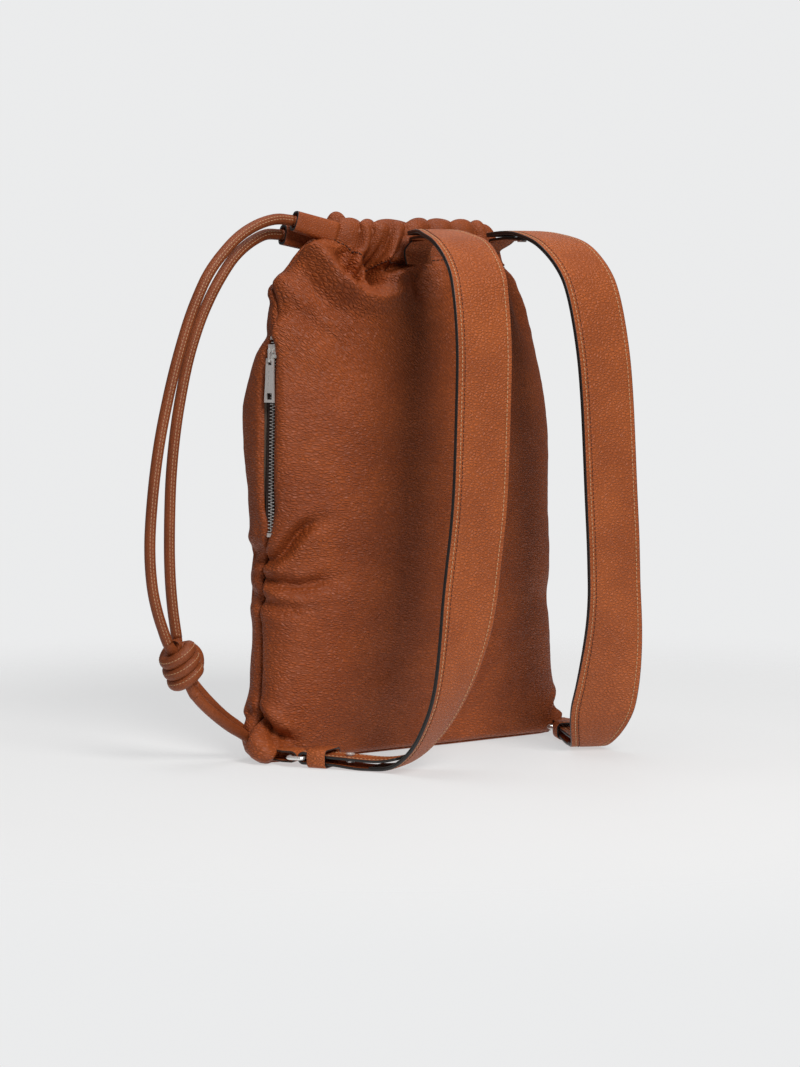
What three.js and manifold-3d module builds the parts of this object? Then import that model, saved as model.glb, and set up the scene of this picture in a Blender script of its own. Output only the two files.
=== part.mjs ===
// Soft leather drawstring backpack, standing on its base.
// Millimetres, +Z up. The straps are on the -Y side, the zip and the drawstring on the -X side.
// The origin is on the floor, under the middle of the whole bag.
import * as THREE from 'three';
import { mergeVertices } from 'three/addons/utils/BufferGeometryUtils.js';
import Module from 'manifold-3d';

const wasm = await Module();
wasm.setup();

// ---------------------------------------------------------------- driving dimensions

const gap = 0.35; // clearance between pieces that touch
const leather = 2.0; // panel leather
const liningCloth = 0.8;
const liningSlack = 1.8; // the lining hangs this far inside the leather

const baseHeight = 2.5; // thickness of the base panel
const boardHeight = 2.5; // thickness of the stiffener on top of it
const bodyTop = 416; // top edge of the two body panels
const casingBottom = 418;
const casingTop = 445;
const casingChannel = 15; // room across the tunnel that the cord runs in
const casingRuffle = 1.4; // how far each gather moves in and out
const ruffleCount = 20;

// The body's outline at each height: half width, half depth, centre and squareness of the corners.
const bodyStations = [
  { z: 0, halfWidth: 157, halfDepth: 31, x: 0, y: -3, square: 5 },
  { z: 28, halfWidth: 158, halfDepth: 37, x: 0, y: -2, square: 4.6 },
  { z: 60, halfWidth: 153, halfDepth: 49, x: 1, y: 0, square: 3.4 },
  { z: 120, halfWidth: 151, halfDepth: 58, x: 2, y: 0, square: 2.7 },
  { z: 200, halfWidth: 152, halfDepth: 63, x: 1, y: 0, square: 2.4 },
  { z: 280, halfWidth: 150, halfDepth: 62, x: 0, y: 0, square: 2.4 },
  { z: 340, halfWidth: 141, halfDepth: 54, x: -4, y: -2, square: 2.3 },
  { z: 390, halfWidth: 119, halfDepth: 43, x: 0, y: -6, square: 2.2 },
  { z: 418, halfWidth: 99, halfDepth: 34, x: 5, y: -8, square: 2.2 },
  { z: 445, halfWidth: 88, halfDepth: 30, x: 9, y: -9, square: 2.2 },
];
const seamAngle = THREE.MathUtils.degToRad(13); // the side seams sit this far behind the middle
const leftSeam = Math.PI + seamAngle;
const rightSeam = 2 * Math.PI - seamAngle;

const zipBottom = 188;
const zipTop = 345;
const zipAt = { x: -142.5, y: -17 }; // the middle of the zip, half-way up it
const zipTurn = THREE.MathUtils.degToRad(22); // how far the zip faces towards the straps
const zipLean = Math.atan2(6, zipTop - zipBottom); // its top leans in over the bag
const zipSlotAngle = THREE.MathUtils.degToRad(7.6); // half of the slot between the panels
const toothPitch = 2.8;
const toothWidth = 1.1;
const toothDepth = 2.4;
const tapeWidth = 6.2;
const tapeThickness = 0.8;

const cordRadius = 4.5;
const cordSides = 10;

const strapOuter = 2.4; // outer leather of a shoulder strap
const strapInner = 1.6; // its lining
const seamHalf = 0.15; // half of the gap between the two
const strapWidth = 55;
const strapRootWidth = 31;
const tailWidth = 26;
const widenLength = 105; // along the strap from its root, over which it widens
const taperStart = 490; // along the strap from its root, where it starts to narrow
const taperEnd = 572;
const anchorWidth = 26;
const anchorThickness = 2.2;
const anchorSlack = 1; // between it and the strap above it
const anchorReach = 52; // how far the anchor runs under the strap
const rivetAt = 26; // along the strap from its root
const ringWire = 3.2;
const ringWidth = 35; // along the bar that the strap passes round
const ringReach = 13; // between the middles of the ring's two long bars
const tailAngle = THREE.MathUtils.degToRad(28); // the tail points this far off the Y axis
const tailBend = 3.05; // radius of the strap's turn round the ring
const tailHeight = 4.9; // height of the strap's middle layer where the keeper goes round it
const studAt = 36; // along the tail from the ring
const spareHoleAt = 62;
const keeperAt = 13;
const keeperMiddle = 7.9; // height of its middle
const keeperLength = 10.5;
const keeperWall = 1.6;

// The middle of each strap, from its root down, and the middle of its ring.
const straps = {
  left: {
    side: -1,
    ring: [-137, -50],
    route: [
      [-13.5, -50, 431.5], [-23, -79, 432.5], [-33, -106, 430], [-43, -138, 422],
      [-49, -162, 404], [-54, -175, 382], [-57, -183, 342], [-60, -186, 298],
      [-64, -187, 222], [-69, -185, 168], [-74, -180, 112], [-79, -168, 64],
      [-86, -149, 28], [-96, -127, 7], [-108, -103, 2.9], [-122, -76.6, 4.8],
    ],
  },
  right: {
    side: 1,
    ring: [147, -50],
    route: [
      [71, -47, 430.5], [69, -76, 432], [66.5, -104, 430], [63.5, -137, 422],
      [63, -162, 404], [64, -175, 382], [67, -183, 342], [70, -186, 298],
      [74, -187, 222], [79, -185, 168], [84, -180, 112], [89, -168, 64],
      [96, -149, 28], [106, -127, 7], [118, -103, 2.9], [132, -76.6, 4.8],
    ],
  },
};
// The end of the strap after it has turned back over the ring: distance from the ring, height.
const foldBack = [[14, 9.0], [35, 8.2], [58, 7.4], [71, 8.3], [82, 10.6]];

// The two cords of the drawstring, from the sleeves down to the knot.
const upperRoutes = {
  back: [
    [-116, -8, 442.2], [-132, -8, 443], [-150, -8, 438.5], [-168, -7.5, 429], [-184, -7, 415],
    [-198, -7, 399], [-209, -7, 380], [-219, -7, 358], [-230, -7, 327], [-239, -7, 296],
    [-247, -7, 262], [-253, -7, 224], [-256, -6.5, 184], [-254, -6, 152], [-248, -5.5, 127],
    [-238, -4.5, 102.5],
  ],
  front: [
    [-115.5, 9, 430.8], [-131, 9, 430.5], [-148, 8.5, 423], [-163, 8, 411.5], [-176, 7.5, 396],
    [-188, 7, 378], [-199, 6.5, 357], [-209, 6.5, 330], [-217, 6, 300], [-223, 6, 268],
    [-227, 6, 232], [-229, 5.5, 190], [-229, 5, 158], [-227, 4.5, 130], [-223.5, 4, 105.5],
  ],
};
const lowerRoutes = {
  back: [
    [-211.5, -2, 60.2], [-203, -1.5, 51.5], [-193, -1, 43], [-183, -0.5, 35.5], [-172.5, 0, 28.5],
    [-160.6, 0.8, 22],
  ],
  front: [
    [-204, 9, 66.5], [-197, 9.5, 59], [-188.5, 9.5, 50.5], [-179.5, 10, 42.5], [-170, 10.5, 35],
    [-160.2, 11, 28.5],
  ],
};
const knotCentre = [-227, 1, 81];
const knotSize = [38, 33, 44];

// ---------------------------------------------------------------- materials

const finish = (color, roughness, metalness) =>
  new THREE.MeshStandardMaterial({ color, roughness, metalness });
const tanLeather = finish(0x9a4a26, 0.6, 0);
const strapLeather = finish(0x9c4c28, 0.58, 0);
const cordLeather = finish(0x8f4424, 0.6, 0);
const strapBacking = finish(0x2a1a14, 0.7, 0);
const liningFabric = finish(0x5b4335, 0.9, 0);
const tapeFabric = finish(0x3a2018, 0.9, 0);
const greyBoard = finish(0x77706a, 0.9, 0);
const nickel = finish(0xc9c7c2, 0.25, 1);

// ---------------------------------------------------------------- helpers

const group = new THREE.Group();

function add(name, geometry, material, parent = group) {
  const mesh = new THREE.Mesh(geometry, material);
  mesh.name = name;
  parent.add(mesh);
  return mesh;
}

// A closed body through equal rings of points. caps says how each end is closed, as a list of
// faces of the ring; joined bodies run round on themselves and have no ends.
function loft(rings, caps = stripCaps(rings[0].length)) {
  const count = rings[0].length;
  const positions = rings.flat().flatMap((p) => [p.x, p.y, p.z]);
  const faces = [];
  const joined = caps === 'joined';
  const rows = joined ? rings.length : rings.length - 1;
  for (let row = 0; row < rows; row += 1) {
    const here = row * count;
    const next = ((row + 1) % rings.length) * count;
    for (let i = 0; i < count; i += 1) {
      const j = (i + 1) % count;
      // The two long sides are split along the same diagonal, so that twisted layers stay apart.
      if (i < count / 2) faces.push(here + i, here + j, next + j, here + i, next + j, next + i);
      else faces.push(here + i, here + j, next + i, here + j, next + j, next + i);
    }
  }
  const end = rows * count;
  for (const face of joined ? [] : caps) {
    for (let k = 1; k < face.length - 1; k += 1) {
      faces.push(face[0], face[k + 1], face[k]);
      faces.push(end + face[0], end + face[k], end + face[k + 1]);
    }
  }
  const geometry = new THREE.BufferGeometry();
  geometry.setAttribute('position', new THREE.Float32BufferAttribute(positions, 3));
  geometry.setIndex(signedVolume(positions, faces) < 0 ? faces.reverse() : faces);
  geometry.computeVertexNormals();
  return geometry;
}

// Ends for a ring that runs along one long side and comes back along the other.
function stripCaps(count) {
  return Array.from({ length: count / 2 - 1 }, (_, i) => [i, i + 1, count - 2 - i, count - 1 - i]);
}

function signedVolume(positions, faces) {
  const corner = (i) => new THREE.Vector3().fromArray(positions, 3 * i);
  let volume = 0;
  for (let i = 0; i < faces.length; i += 3) {
    const [a, b, c] = [corner(faces[i]), corner(faces[i + 1]), corner(faces[i + 2])];
    volume += a.dot(b.cross(c)) / 6;
  }
  return volume;
}

function toSolid(geometry) {
  const bare = geometry.clone();
  bare.deleteAttribute('normal');
  bare.deleteAttribute('uv');
  const merged = mergeVertices(bare, 1e-4);
  return new wasm.Manifold(new wasm.Mesh({
    numProp: 3,
    vertProperties: new Float32Array(merged.attributes.position.array),
    triVerts: new Uint32Array(merged.index.array),
  }));
}

function fromSolid(solid) {
  const mesh = solid.getMesh();
  const geometry = new THREE.BufferGeometry();
  geometry.setAttribute('position', new THREE.BufferAttribute(mesh.vertProperties, 3));
  geometry.setIndex(new THREE.BufferAttribute(mesh.triVerts, 1));
  geometry.computeVertexNormals();
  return geometry;
}

const join = (...shapes) => fromSolid(shapes.map(toSolid).reduce((all, one) => all.add(one)));
const cut = (shape, ...tools) =>
  fromSolid(tools.map(toSolid).reduce((left, tool) => left.subtract(tool), toSolid(shape)));

// A cylinder between two points.
function rod(from, to, radius, sides = 16) {
  const along = to.clone().sub(from);
  const geometry = new THREE.CylinderGeometry(radius, radius, along.length(), sides);
  const up = new THREE.Vector3(0, 1, 0);
  geometry.applyQuaternion(new THREE.Quaternion().setFromUnitVectors(up, along.normalize()));
  geometry.translate((from.x + to.x) / 2, (from.y + to.y) / 2, (from.z + to.z) / 2);
  return geometry;
}

const vectors = (points) => points.map((p) => new THREE.Vector3(...p));
const eased = (t) => THREE.MathUtils.smoothstep(t, 0, 1);

function tube(points, steps) {
  const section = new THREE.Shape();
  for (let i = 0; i < cordSides; i += 1) {
    const turn = (2 * Math.PI * i) / cordSides;
    const [x, y] = [cordRadius * Math.cos(turn), cordRadius * Math.sin(turn)];
    if (i === 0) section.moveTo(x, y);
    else section.lineTo(x, y);
  }
  section.closePath();
  const extrudePath = new THREE.CatmullRomCurve3(points);
  return new THREE.ExtrudeGeometry(section, { steps, extrudePath, bevelEnabled: false });
}

// ---------------------------------------------------------------- the body's surface

// One value of the body's outline at a height, on a smooth curve through the stations.
function station(z, key) {
  const last = bodyStations.length - 1;
  let i = 0;
  while (i < last - 1 && z > bodyStations[i + 1].z) i += 1;
  const slope = (k) => {
    const [low, high] = [bodyStations[Math.max(k - 1, 0)], bodyStations[Math.min(k + 1, last)]];
    return (high[key] - low[key]) / (high.z - low.z);
  };
  const [low, high] = [bodyStations[i], bodyStations[i + 1]];
  const span = high.z - low.z;
  const t = (z - low.z) / span;
  const rise = t * t * (3 - 2 * t);
  const start = t * (1 - t) * (1 - t) * span * slope(i);
  const end = t * t * (t - 1) * span * slope(i + 1);
  return low[key] + (high[key] - low[key]) * rise + start + end;
}

// The point of the body's wall at an angle round it (0 is +X, 90 degrees is +Y), inset inwards.
function wall(angle, z, inset = 0) {
  const power = 2 / station(z, 'square');
  const round = (value) => Math.sign(value) * Math.abs(value) ** power;
  return new THREE.Vector3(
    station(z, 'x') + (station(z, 'halfWidth') - inset) * round(Math.cos(angle)),
    station(z, 'y') + (station(z, 'halfDepth') - inset) * round(Math.sin(angle)),
    z,
  );
}

// How far the side of the left seam stands back from it, as an angle: a slot along the zip.
function zipSlot(z) {
  const lead = 12;
  const opening = Math.min(z - zipBottom + lead, zipTop + lead - z) / lead;
  return zipSlotAngle * eased(opening);
}

// Part of the body's wall between two angles, from one height to another.
function panel({ from, to, bottom, top, outside, inside, across, up }) {
  const rings = [];
  for (let row = 0; row <= up; row += 1) {
    const z = bottom + ((top - bottom) * row) / up;
    const [start, end] = [from(z), to(z)];
    const side = (inset) => Array.from({ length: across + 1 }, (_, i) =>
      wall(start + ((end - start) * i) / across, z, inset));
    rings.push([...side(outside), ...side(inside).reverse()]);
  }
  return loft(rings);
}

// A flat plate with the body's outline.
function plate(bottom, top, inset) {
  const sides = 48;
  const outline = Array.from({ length: sides }, (_, i) =>
    wall((2 * Math.PI * i) / sides, bottom, inset));
  const shape = new THREE.Shape(outline.map((p) => new THREE.Vector2(p.x, p.y)));
  const geometry = new THREE.ExtrudeGeometry(shape, { depth: top - bottom, bevelEnabled: false });
  return geometry.translate(0, 0, bottom);
}

function addBody() {
  const seamGap = 0.003; // half of the gap between the panels at a seam, as an angle
  const back = {
    from: (z) => leftSeam + seamGap + zipSlot(z),
    to: () => rightSeam - seamGap,
  };
  const front = {
    from: () => rightSeam - 2 * Math.PI + seamGap,
    to: (z) => leftSeam - seamGap - zipSlot(z),
  };
  const skin = {
    bottom: baseHeight + gap, top: bodyTop, outside: 0, inside: leather, up: 24,
  };
  add('back_panel', panel({ ...skin, ...back, across: 14 }), tanLeather);
  add('front_panel', panel({ ...skin, ...front, across: 20 }), tanLeather);

  const boardTop = baseHeight + gap + boardHeight;
  const liningBottom = boardTop + gap;
  add('base_panel', plate(0, baseHeight, 0), tanLeather);
  add('base_board', plate(baseHeight + gap, boardTop, leather + 1), greyBoard);
  add('lining_base', plate(liningBottom, liningBottom + liningCloth, leather + 1), liningFabric);

  const lining = {
    bottom: liningBottom + liningCloth + gap,
    top: bodyTop - 6,
    outside: leather + liningSlack,
    inside: leather + liningSlack + liningCloth,
    up: 16,
  };
  add('lining_back', panel({ ...lining, ...back, across: 10 }), liningFabric);
  add('lining_front', panel({ ...lining, ...front, across: 14 }), liningFabric);
}

// ---------------------------------------------------------------- drawstring casing and sleeves

const casingStart = THREE.MathUtils.degToRad(212); // its two ends leave a gap on the left
const casingEnd = THREE.MathUtils.degToRad(142 + 360);
const sleeveHeight = 13.5;
const sleeveWidth = 12;
const sleeveBore = 5.1;
// Each sleeve runs from the casing to where its cord comes out.
const sleeves = {
  back: { from: [-84, -13, 435], to: [-114, -8, 442] },
  front: { from: [-84, 6, 426.5], to: [-113.5, 9, 430.8] },
};

// An upside-down U that runs round the mouth of the bag in gathers.
function addCasing() {
  const steps = ruffleCount * 4;
  const outer = casingChannel + 2 * leather;
  const rings = [];
  for (let i = 0; i <= steps; i += 1) {
    const t = i / steps;
    const angle = casingStart + (casingEnd - casingStart) * t;
    const gather = casingRuffle * Math.sin(2 * Math.PI * ruffleCount * t);
    const roof = casingTop + 0.8 * gather;
    const at = (inset, z) => wall(angle, casingTop, inset + gather - 1).setZ(z);
    rings.push([
      at(0, casingBottom), at(0, roof - 4), at(4, roof), at(outer - 4, roof),
      at(outer, roof - 4), at(outer, casingBottom), at(outer - leather, casingBottom),
      at(outer - leather, roof - 5), at(outer - 5, roof - 2), at(5, roof - 2),
      at(leather, roof - 5), at(leather, casingBottom),
    ]);
  }
  const ends = [[0, 1, 10, 11], [1, 2, 9, 10], [2, 3, 8, 9], [3, 4, 7, 8], [4, 5, 6, 7]];
  add('casing', loft(rings, ends), tanLeather);
}

// The stretch of cord that lies in the casing, with its two ends in the sleeves.
function addCasingCord() {
  const inset = casingChannel / 2 + leather - 1;
  const points = vectors([sleeves.back.to, sleeves.back.from]);
  const turns = 40;
  const beyond = THREE.MathUtils.degToRad(5); // the cord keeps its bend a little past the casing
  for (let i = 0; i <= turns; i += 1) {
    const angle = casingStart - beyond + ((casingEnd - casingStart + 2 * beyond) * i) / turns;
    points.push(wall(angle, casingTop, inset).setZ(433 - (4 * i) / turns));
  }
  points.push(...vectors([sleeves.front.from, sleeves.front.to]));
  add('cord_in_casing', tube(points, 56), cordLeather);
}

function addSleeve(name, { from, to }) {
  const [start, end] = vectors([from, to]);
  const [w, h, r] = [sleeveWidth / 2, sleeveHeight / 2, 4];
  const shape = new THREE.Shape();
  shape.absarc(w - r, h - r, r, 0, Math.PI / 2);
  shape.absarc(r - w, h - r, r, Math.PI / 2, Math.PI);
  shape.absarc(r - w, r - h, r, Math.PI, 1.5 * Math.PI);
  shape.absarc(w - r, r - h, r, 1.5 * Math.PI, 2 * Math.PI);
  shape.holes.push(new THREE.Path().absarc(0, 0, sleeveBore, 0, 2 * Math.PI, true));
  const depth = start.distanceTo(end);
  const geometry = new THREE.ExtrudeGeometry(shape, { depth, bevelEnabled: false, curveSegments: 5 });
  const along = end.clone().sub(start).normalize();
  const across = new THREE.Vector3(0, 0, 1).cross(along).normalize();
  const up = along.clone().cross(across);
  geometry.applyMatrix4(new THREE.Matrix4().makeBasis(across, up, along).setPosition(start));
  add(name, geometry, strapLeather);
}

// ---------------------------------------------------------------- drawstring outside the bag

function addDrawstring() {
  for (const side of ['back', 'front']) {
    add(`cord_upper_${side}`, tube(vectors(upperRoutes[side]), 26), cordLeather);
    add(`cord_lower_${side}`, tube(vectors(lowerRoutes[side]), 6), cordLeather);
  }
  const knot = new THREE.SphereGeometry(0.5, 18, 12);
  knot.rotateX(Math.PI / 2);
  knot.scale(...knotSize);
  knot.translate(...knotCentre);
  add('cord_knot', knot, cordLeather);
}

// ---------------------------------------------------------------- side zip

// The zip's own frame: +X out of the bag, +Y towards the straps, +Z up the zip.
const zip = new THREE.Group();
zip.position.set(zipAt.x, zipAt.y, (zipBottom + zipTop) / 2);
zip.rotation.set(0, -zipLean, Math.PI + zipTurn, 'ZYX');
group.add(zip);
const zipHalf = (zipTop - zipBottom) / 2;
const sliderHeight = zipHalf - 9; // along the zip from its middle
const crown = { x: 5.4, reach: 2.6, half: 0.55 }; // the bar across the slider that the link hangs on
const linkHang = 6.8; // from the crown down to the bar of the pull tab

function box(x, y, z) {
  const geometry = new THREE.BoxGeometry(x[1] - x[0], y[1] - y[0], z[1] - z[0]);
  return geometry.translate((x[0] + x[1]) / 2, (y[0] + y[1]) / 2, (z[0] + z[1]) / 2);
}

// One row of teeth on its bead. Its teeth start a little way up, so that two rows interlock.
function toothRow(side, lead) {
  const [tip, root, bead] = [-0.7 * side, 0.9 * side, 2.7 * side];
  const shape = new THREE.Shape();
  shape.moveTo(-zipHalf, bead);
  shape.lineTo(-zipHalf, root);
  for (let z = lead - zipHalf; z < zipHalf - toothWidth; z += toothPitch) {
    shape.lineTo(z, root);
    shape.lineTo(z, tip);
    shape.lineTo(z + toothWidth, tip);
    shape.lineTo(z + toothWidth, root);
  }
  shape.lineTo(zipHalf, root);
  shape.lineTo(zipHalf, bead);
  const geometry = new THREE.ExtrudeGeometry(shape, { depth: toothDepth, bevelEnabled: false });
  geometry.translate(0, 0, -toothDepth / 2);
  // The shape lies in Z and Y of the zip, and its depth is across X.
  const turned = new THREE.Matrix4().set(0, 0, 1, 0, 0, 1, 0, 0, 1, 0, 0, 0, 0, 0, 0, 1);
  return reversed(geometry.applyMatrix4(turned));
}

// The same surface with its faces the other way round, after a mirroring.
function reversed(geometry) {
  const position = geometry.attributes.position;
  for (let i = 0; i < position.count; i += 3) {
    const [b, c] = [i + 1, i + 2].map((k) => new THREE.Vector3().fromBufferAttribute(position, k));
    position.setXYZ(i + 1, c.x, c.y, c.z);
    position.setXYZ(i + 2, b.x, b.y, b.z);
  }
  geometry.computeVertexNormals();
  return geometry;
}

function addZip() {
  const half = toothDepth / 2;
  const behind = [-half - gap - tapeThickness, -half - gap];
  for (const [name, side, lead] of [['back', 1, 0.6], ['front', -1, 0.6 + toothPitch / 2]]) {
    const across = (near, far) => [near * side, far * side].sort((a, b) => a - b);
    const tape = box(behind, across(0.4, tapeWidth), [-zipHalf, zipHalf]);
    add(`zip_tape_${name}`, tape, tapeFabric, zip);
    add(`zip_teeth_${name}`, toothRow(side, lead), nickel, zip);
    const stop = box([-half, half + 0.4], across(0.4, 2.9), [zipHalf + gap, zipHalf + 3]);
    add(`zip_top_stop_${name}`, stop, nickel, zip);
  }
  const stop = box([-half, half + 0.4], [-2.9, 2.9], [-zipHalf - 3.4, -zipHalf - gap]);
  add('zip_bottom_stop', stop, nickel, zip);
  addSlider();
}

function addSlider() {
  const plate = box([1.6, 2.8], [-4, 4], [-5.5, 5.5]);
  const posts = [-1, 1].map((side) => {
    const y = [crown.reach * side, (crown.reach - 1) * side].sort((a, b) => a - b);
    return box([2.6, crown.x + crown.half], y, [-1.3, 1.3]);
  });
  const [low, high] = [-crown.half, crown.half];
  const bar = box([crown.x + low, crown.x + high], [-crown.reach, crown.reach], [low, high]);
  const slider = add('zip_slider', join(plate, ...posts, bar), nickel, zip);

  const [thick, outer, inner] = [1.3, 2.8, 1.6];
  const link = stadium(outer, -0.4, -6.6);
  link.holes.push(stadium(inner, -0.4, -6.6));
  const ring = new THREE.ExtrudeGeometry(link, { depth: thick, bevelEnabled: false, curveSegments: 8 });
  ring.translate(crown.x + 0.5, 0, -thick / 2);
  // The link's outline is drawn in X and Y, and stands in X and Z.
  const pull = add('zip_pull_link', ring.rotateX(Math.PI / 2), nickel, zip);

  const tab = new THREE.Shape(
    [[-4.7, -35], [4.7, -35], [4.1, -20], [3.6, 0.8], [-3.6, 0.8], [-4.1, -20]].map(
      (p) => new THREE.Vector2(...p)));
  tab.holes.push(hole(1.7, -4.6, -0.8), hole(2.5, -32.6, -27.4));
  const plateTab = new THREE.ExtrudeGeometry(tab, { depth: 1.5, bevelEnabled: false });
  plateTab.translate(0, 0, -0.75).rotateX(Math.PI / 2).rotateZ(Math.PI / 2);
  plateTab.translate(crown.x + 0.45, 0, -linkHang);
  const pullTab = add('zip_pull_tab', plateTab, nickel, zip);

  for (const piece of [slider, pull, pullTab]) piece.position.z = sliderHeight;
}

const hole = (half, low, high) => new THREE.Path(
  [[-half, low], [-half, high], [half, high], [half, low]].map((p) => new THREE.Vector2(...p)));

// An upright outline with round ends.
function stadium(radius, high, low) {
  const shape = new THREE.Shape();
  shape.absarc(0, high, radius, 0, Math.PI);
  shape.absarc(0, low, radius, Math.PI, 2 * Math.PI);
  return shape;
}

// ---------------------------------------------------------------- shoulder straps

// Points along a strap with their directions: along it, across it and out of its outer face.
function strapFrames(points, side) {
  return points.map((p, i) => {
    const before = points[Math.max(i - 1, 0)];
    const after = points[Math.min(i + 1, points.length - 1)];
    const along = after.clone().sub(before).normalize();
    const turn = -side * tailAngle * THREE.MathUtils.smoothstep(-p.z, -150, -20);
    const across = new THREE.Vector3(Math.cos(turn), Math.sin(turn), 0);
    across.addScaledVector(along, -along.dot(across)).normalize();
    return { p, along, across, out: along.clone().cross(across).normalize() };
  });
}

// A band along a list of frames, between two distances from its middle layer.
function band(frames, width, inner, outer) {
  return loft(frames.map((f, i) => {
    const half = width(i) / 2;
    const at = (x, z) => f.p.clone().addScaledVector(f.across, x).addScaledVector(f.out, z);
    return [at(-half, outer), at(half, outer), at(half, inner), at(-half, inner)];
  }));
}

function measured(points) {
  const lengths = [0];
  points.slice(1).forEach((p, i) => lengths.push(lengths[i] + p.distanceTo(points[i])));
  return lengths;
}

function strapWidthAt(length) {
  const widening = eased(Math.min(length / widenLength, 1));
  const narrowing = eased(THREE.MathUtils.clamp((length - taperStart) / (taperEnd - taperStart), 0, 1));
  const full = strapRootWidth + (strapWidth - strapRootWidth) * widening;
  return full - (full - tailWidth) * narrowing;
}

function addStrap(name, { side, ring, route }) {
  const along = new THREE.Vector3(side * Math.sin(tailAngle), Math.cos(tailAngle), 0);
  const across = new THREE.Vector3(Math.cos(tailAngle), -side * Math.sin(tailAngle), 0);
  const ringAt = new THREE.Vector3(...ring, tailHeight + tailBend);
  const strapBar = ringAt.clone().addScaledVector(along, -ringReach / 2);
  const tabBar = ringAt.clone().addScaledVector(along, ringReach / 2);
  const onTail = (length, z) => strapBar.clone().addScaledVector(along, -length).setZ(z);

  // Down the front, along the floor to the ring, round it, and back over itself.
  const down = new THREE.CatmullRomCurve3([...vectors(route), onTail(8, tailHeight), onTail(0, tailHeight)]);
  const main = down.getSpacedPoints(56);
  const lengths = measured(main);
  const turn = [1, 2, 3, 4, 5].map((i) => {
    const angle = (Math.PI * i) / 6;
    const p = strapBar.clone().addScaledVector(along, tailBend * Math.sin(angle));
    return p.setZ(ringAt.z - tailBend * Math.cos(angle));
  });
  const top = onTail(0, ringAt.z + tailBend);
  const back = new THREE.CatmullRomCurve3([top, ...foldBack.map(([length, z]) => onTail(length, z))]);
  const points = [...main, ...turn, ...back.getSpacedPoints(12)];
  const frames = strapFrames(points, side);
  const width = (i) => (i < lengths.length ? strapWidthAt(lengths[i]) : tailWidth);

  const holes = [studAt, spareHoleAt].map((length) =>
    rod(onTail(length, tailHeight + 1.6), onTail(length, 14), 2.4, 12));
  const outer = band(frames, width, seamHalf, seamHalf + strapOuter);
  add(`${name}_strap`, cut(outer, ...holes), strapLeather);

  const lined = frames.filter((_, i) => i < lengths.length && lengths[i] < taperEnd);
  const lining = band(lined, width, -seamHalf - strapInner, -seamHalf);
  const rivet = frames[lengths.findIndex((length) => length >= rivetAt)];
  const rivetHole = rod(level(rivet, -8), level(rivet, -seamHalf / 2), 2.1, 12);
  add(`${name}_strap_lining`, cut(lining, rivetHole), strapBacking);

  addAnchor(name, frames, lengths, rivetHole, rivet);
  addRing(name, ringAt, across, along);
  addStud(name, onTail(studAt, 0));
  addKeeper(name, onTail(keeperAt, keeperMiddle), across, along);
  addCornerTab(name, tabBar, across, along, side);
}

const level = (frame, height) => frame.p.clone().addScaledVector(frame.out, height);

// The tab that holds a strap's root: it rises from the bag and runs on under the strap.
function addAnchor(name, frames, lengths, rivetHole, rivet) {
  const under = -seamHalf - strapInner - anchorSlack - anchorThickness / 2;
  const root = frames[0].p;
  const rise = [[-1.5, -29], [-1.5, -19], [-0.5, -11.5], [2.5, -6]].map(([out, z]) =>
    new THREE.Vector3(root.x, root.y - out, root.z + z));
  const run = frames.filter((_, i) => lengths[i] > 6 && lengths[i] < anchorReach);
  const curve = new THREE.CatmullRomCurve3([...rise, ...run.map((f) => level(f, under))]);
  const path = strapFrames(curve.getSpacedPoints(20), 0);
  const anchor = band(path, () => anchorWidth, -anchorThickness / 2, anchorThickness / 2);
  add(`${name}_strap_anchor`, cut(anchor, rivetHole), strapLeather);

  const head = under - anchorThickness / 2 - gap;
  const shank = rod(level(rivet, head - 1), level(rivet, -seamHalf - 0.3), 1.7, 12);
  const cap = rod(level(rivet, head - 1.6), level(rivet, head), 3.8);
  add(`${name}_anchor_rivet`, join(shank, cap), nickel);
}

// The flat ring at the bottom corner, of round wire.
function addRing(name, centre, across, along) {
  const [w, l] = [(ringWidth - ringWire) / 2, ringReach / 2];
  const corner = 2.4;
  const loop = [];
  for (const [x, y, start] of [[1, 1, 0], [-1, 1, 90], [-1, -1, 180], [1, -1, 270]]) {
    for (let i = 0; i <= 3; i += 1) {
      const angle = THREE.MathUtils.degToRad(start + 30 * i);
      const dx = x * (w - corner) + corner * Math.cos(angle);
      const dy = y * (l - corner) + corner * Math.sin(angle);
      loop.push({ at: [dx, dy], out: [Math.cos(angle), Math.sin(angle)] });
    }
  }
  const sides = 8;
  const place = (dx, dy, z) => centre.clone().addScaledVector(across, dx).addScaledVector(along, dy)
    .add(new THREE.Vector3(0, 0, z));
  const rings = loop.map(({ at, out }) => Array.from({ length: sides }, (_, i) => {
    const angle = (2 * Math.PI * i) / sides;
    const reach = (ringWire / 2) * Math.cos(angle);
    return place(at[0] + out[0] * reach, at[1] + out[1] * reach, (ringWire / 2) * Math.sin(angle));
  }));
  add(`${name}_ring`, loft(rings, 'joined'), nickel);
}

// The stud that the strap's folded end is buttoned on.
function addStud(name, at) {
  const profile = [[0, 5.2], [3.5, 5.2], [3.5, 6.3], [1.6, 6.6], [1.6, 10.9], [3.8, 11.2],
    [3.9, 12.2], [2.6, 13], [0, 13.2]].map((p) => new THREE.Vector2(...p));
  const stud = new THREE.LatheGeometry(profile, 16).rotateX(Math.PI / 2);
  add(`${name}_stud`, stud.translate(at.x, at.y, 0), nickel);
}

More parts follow.
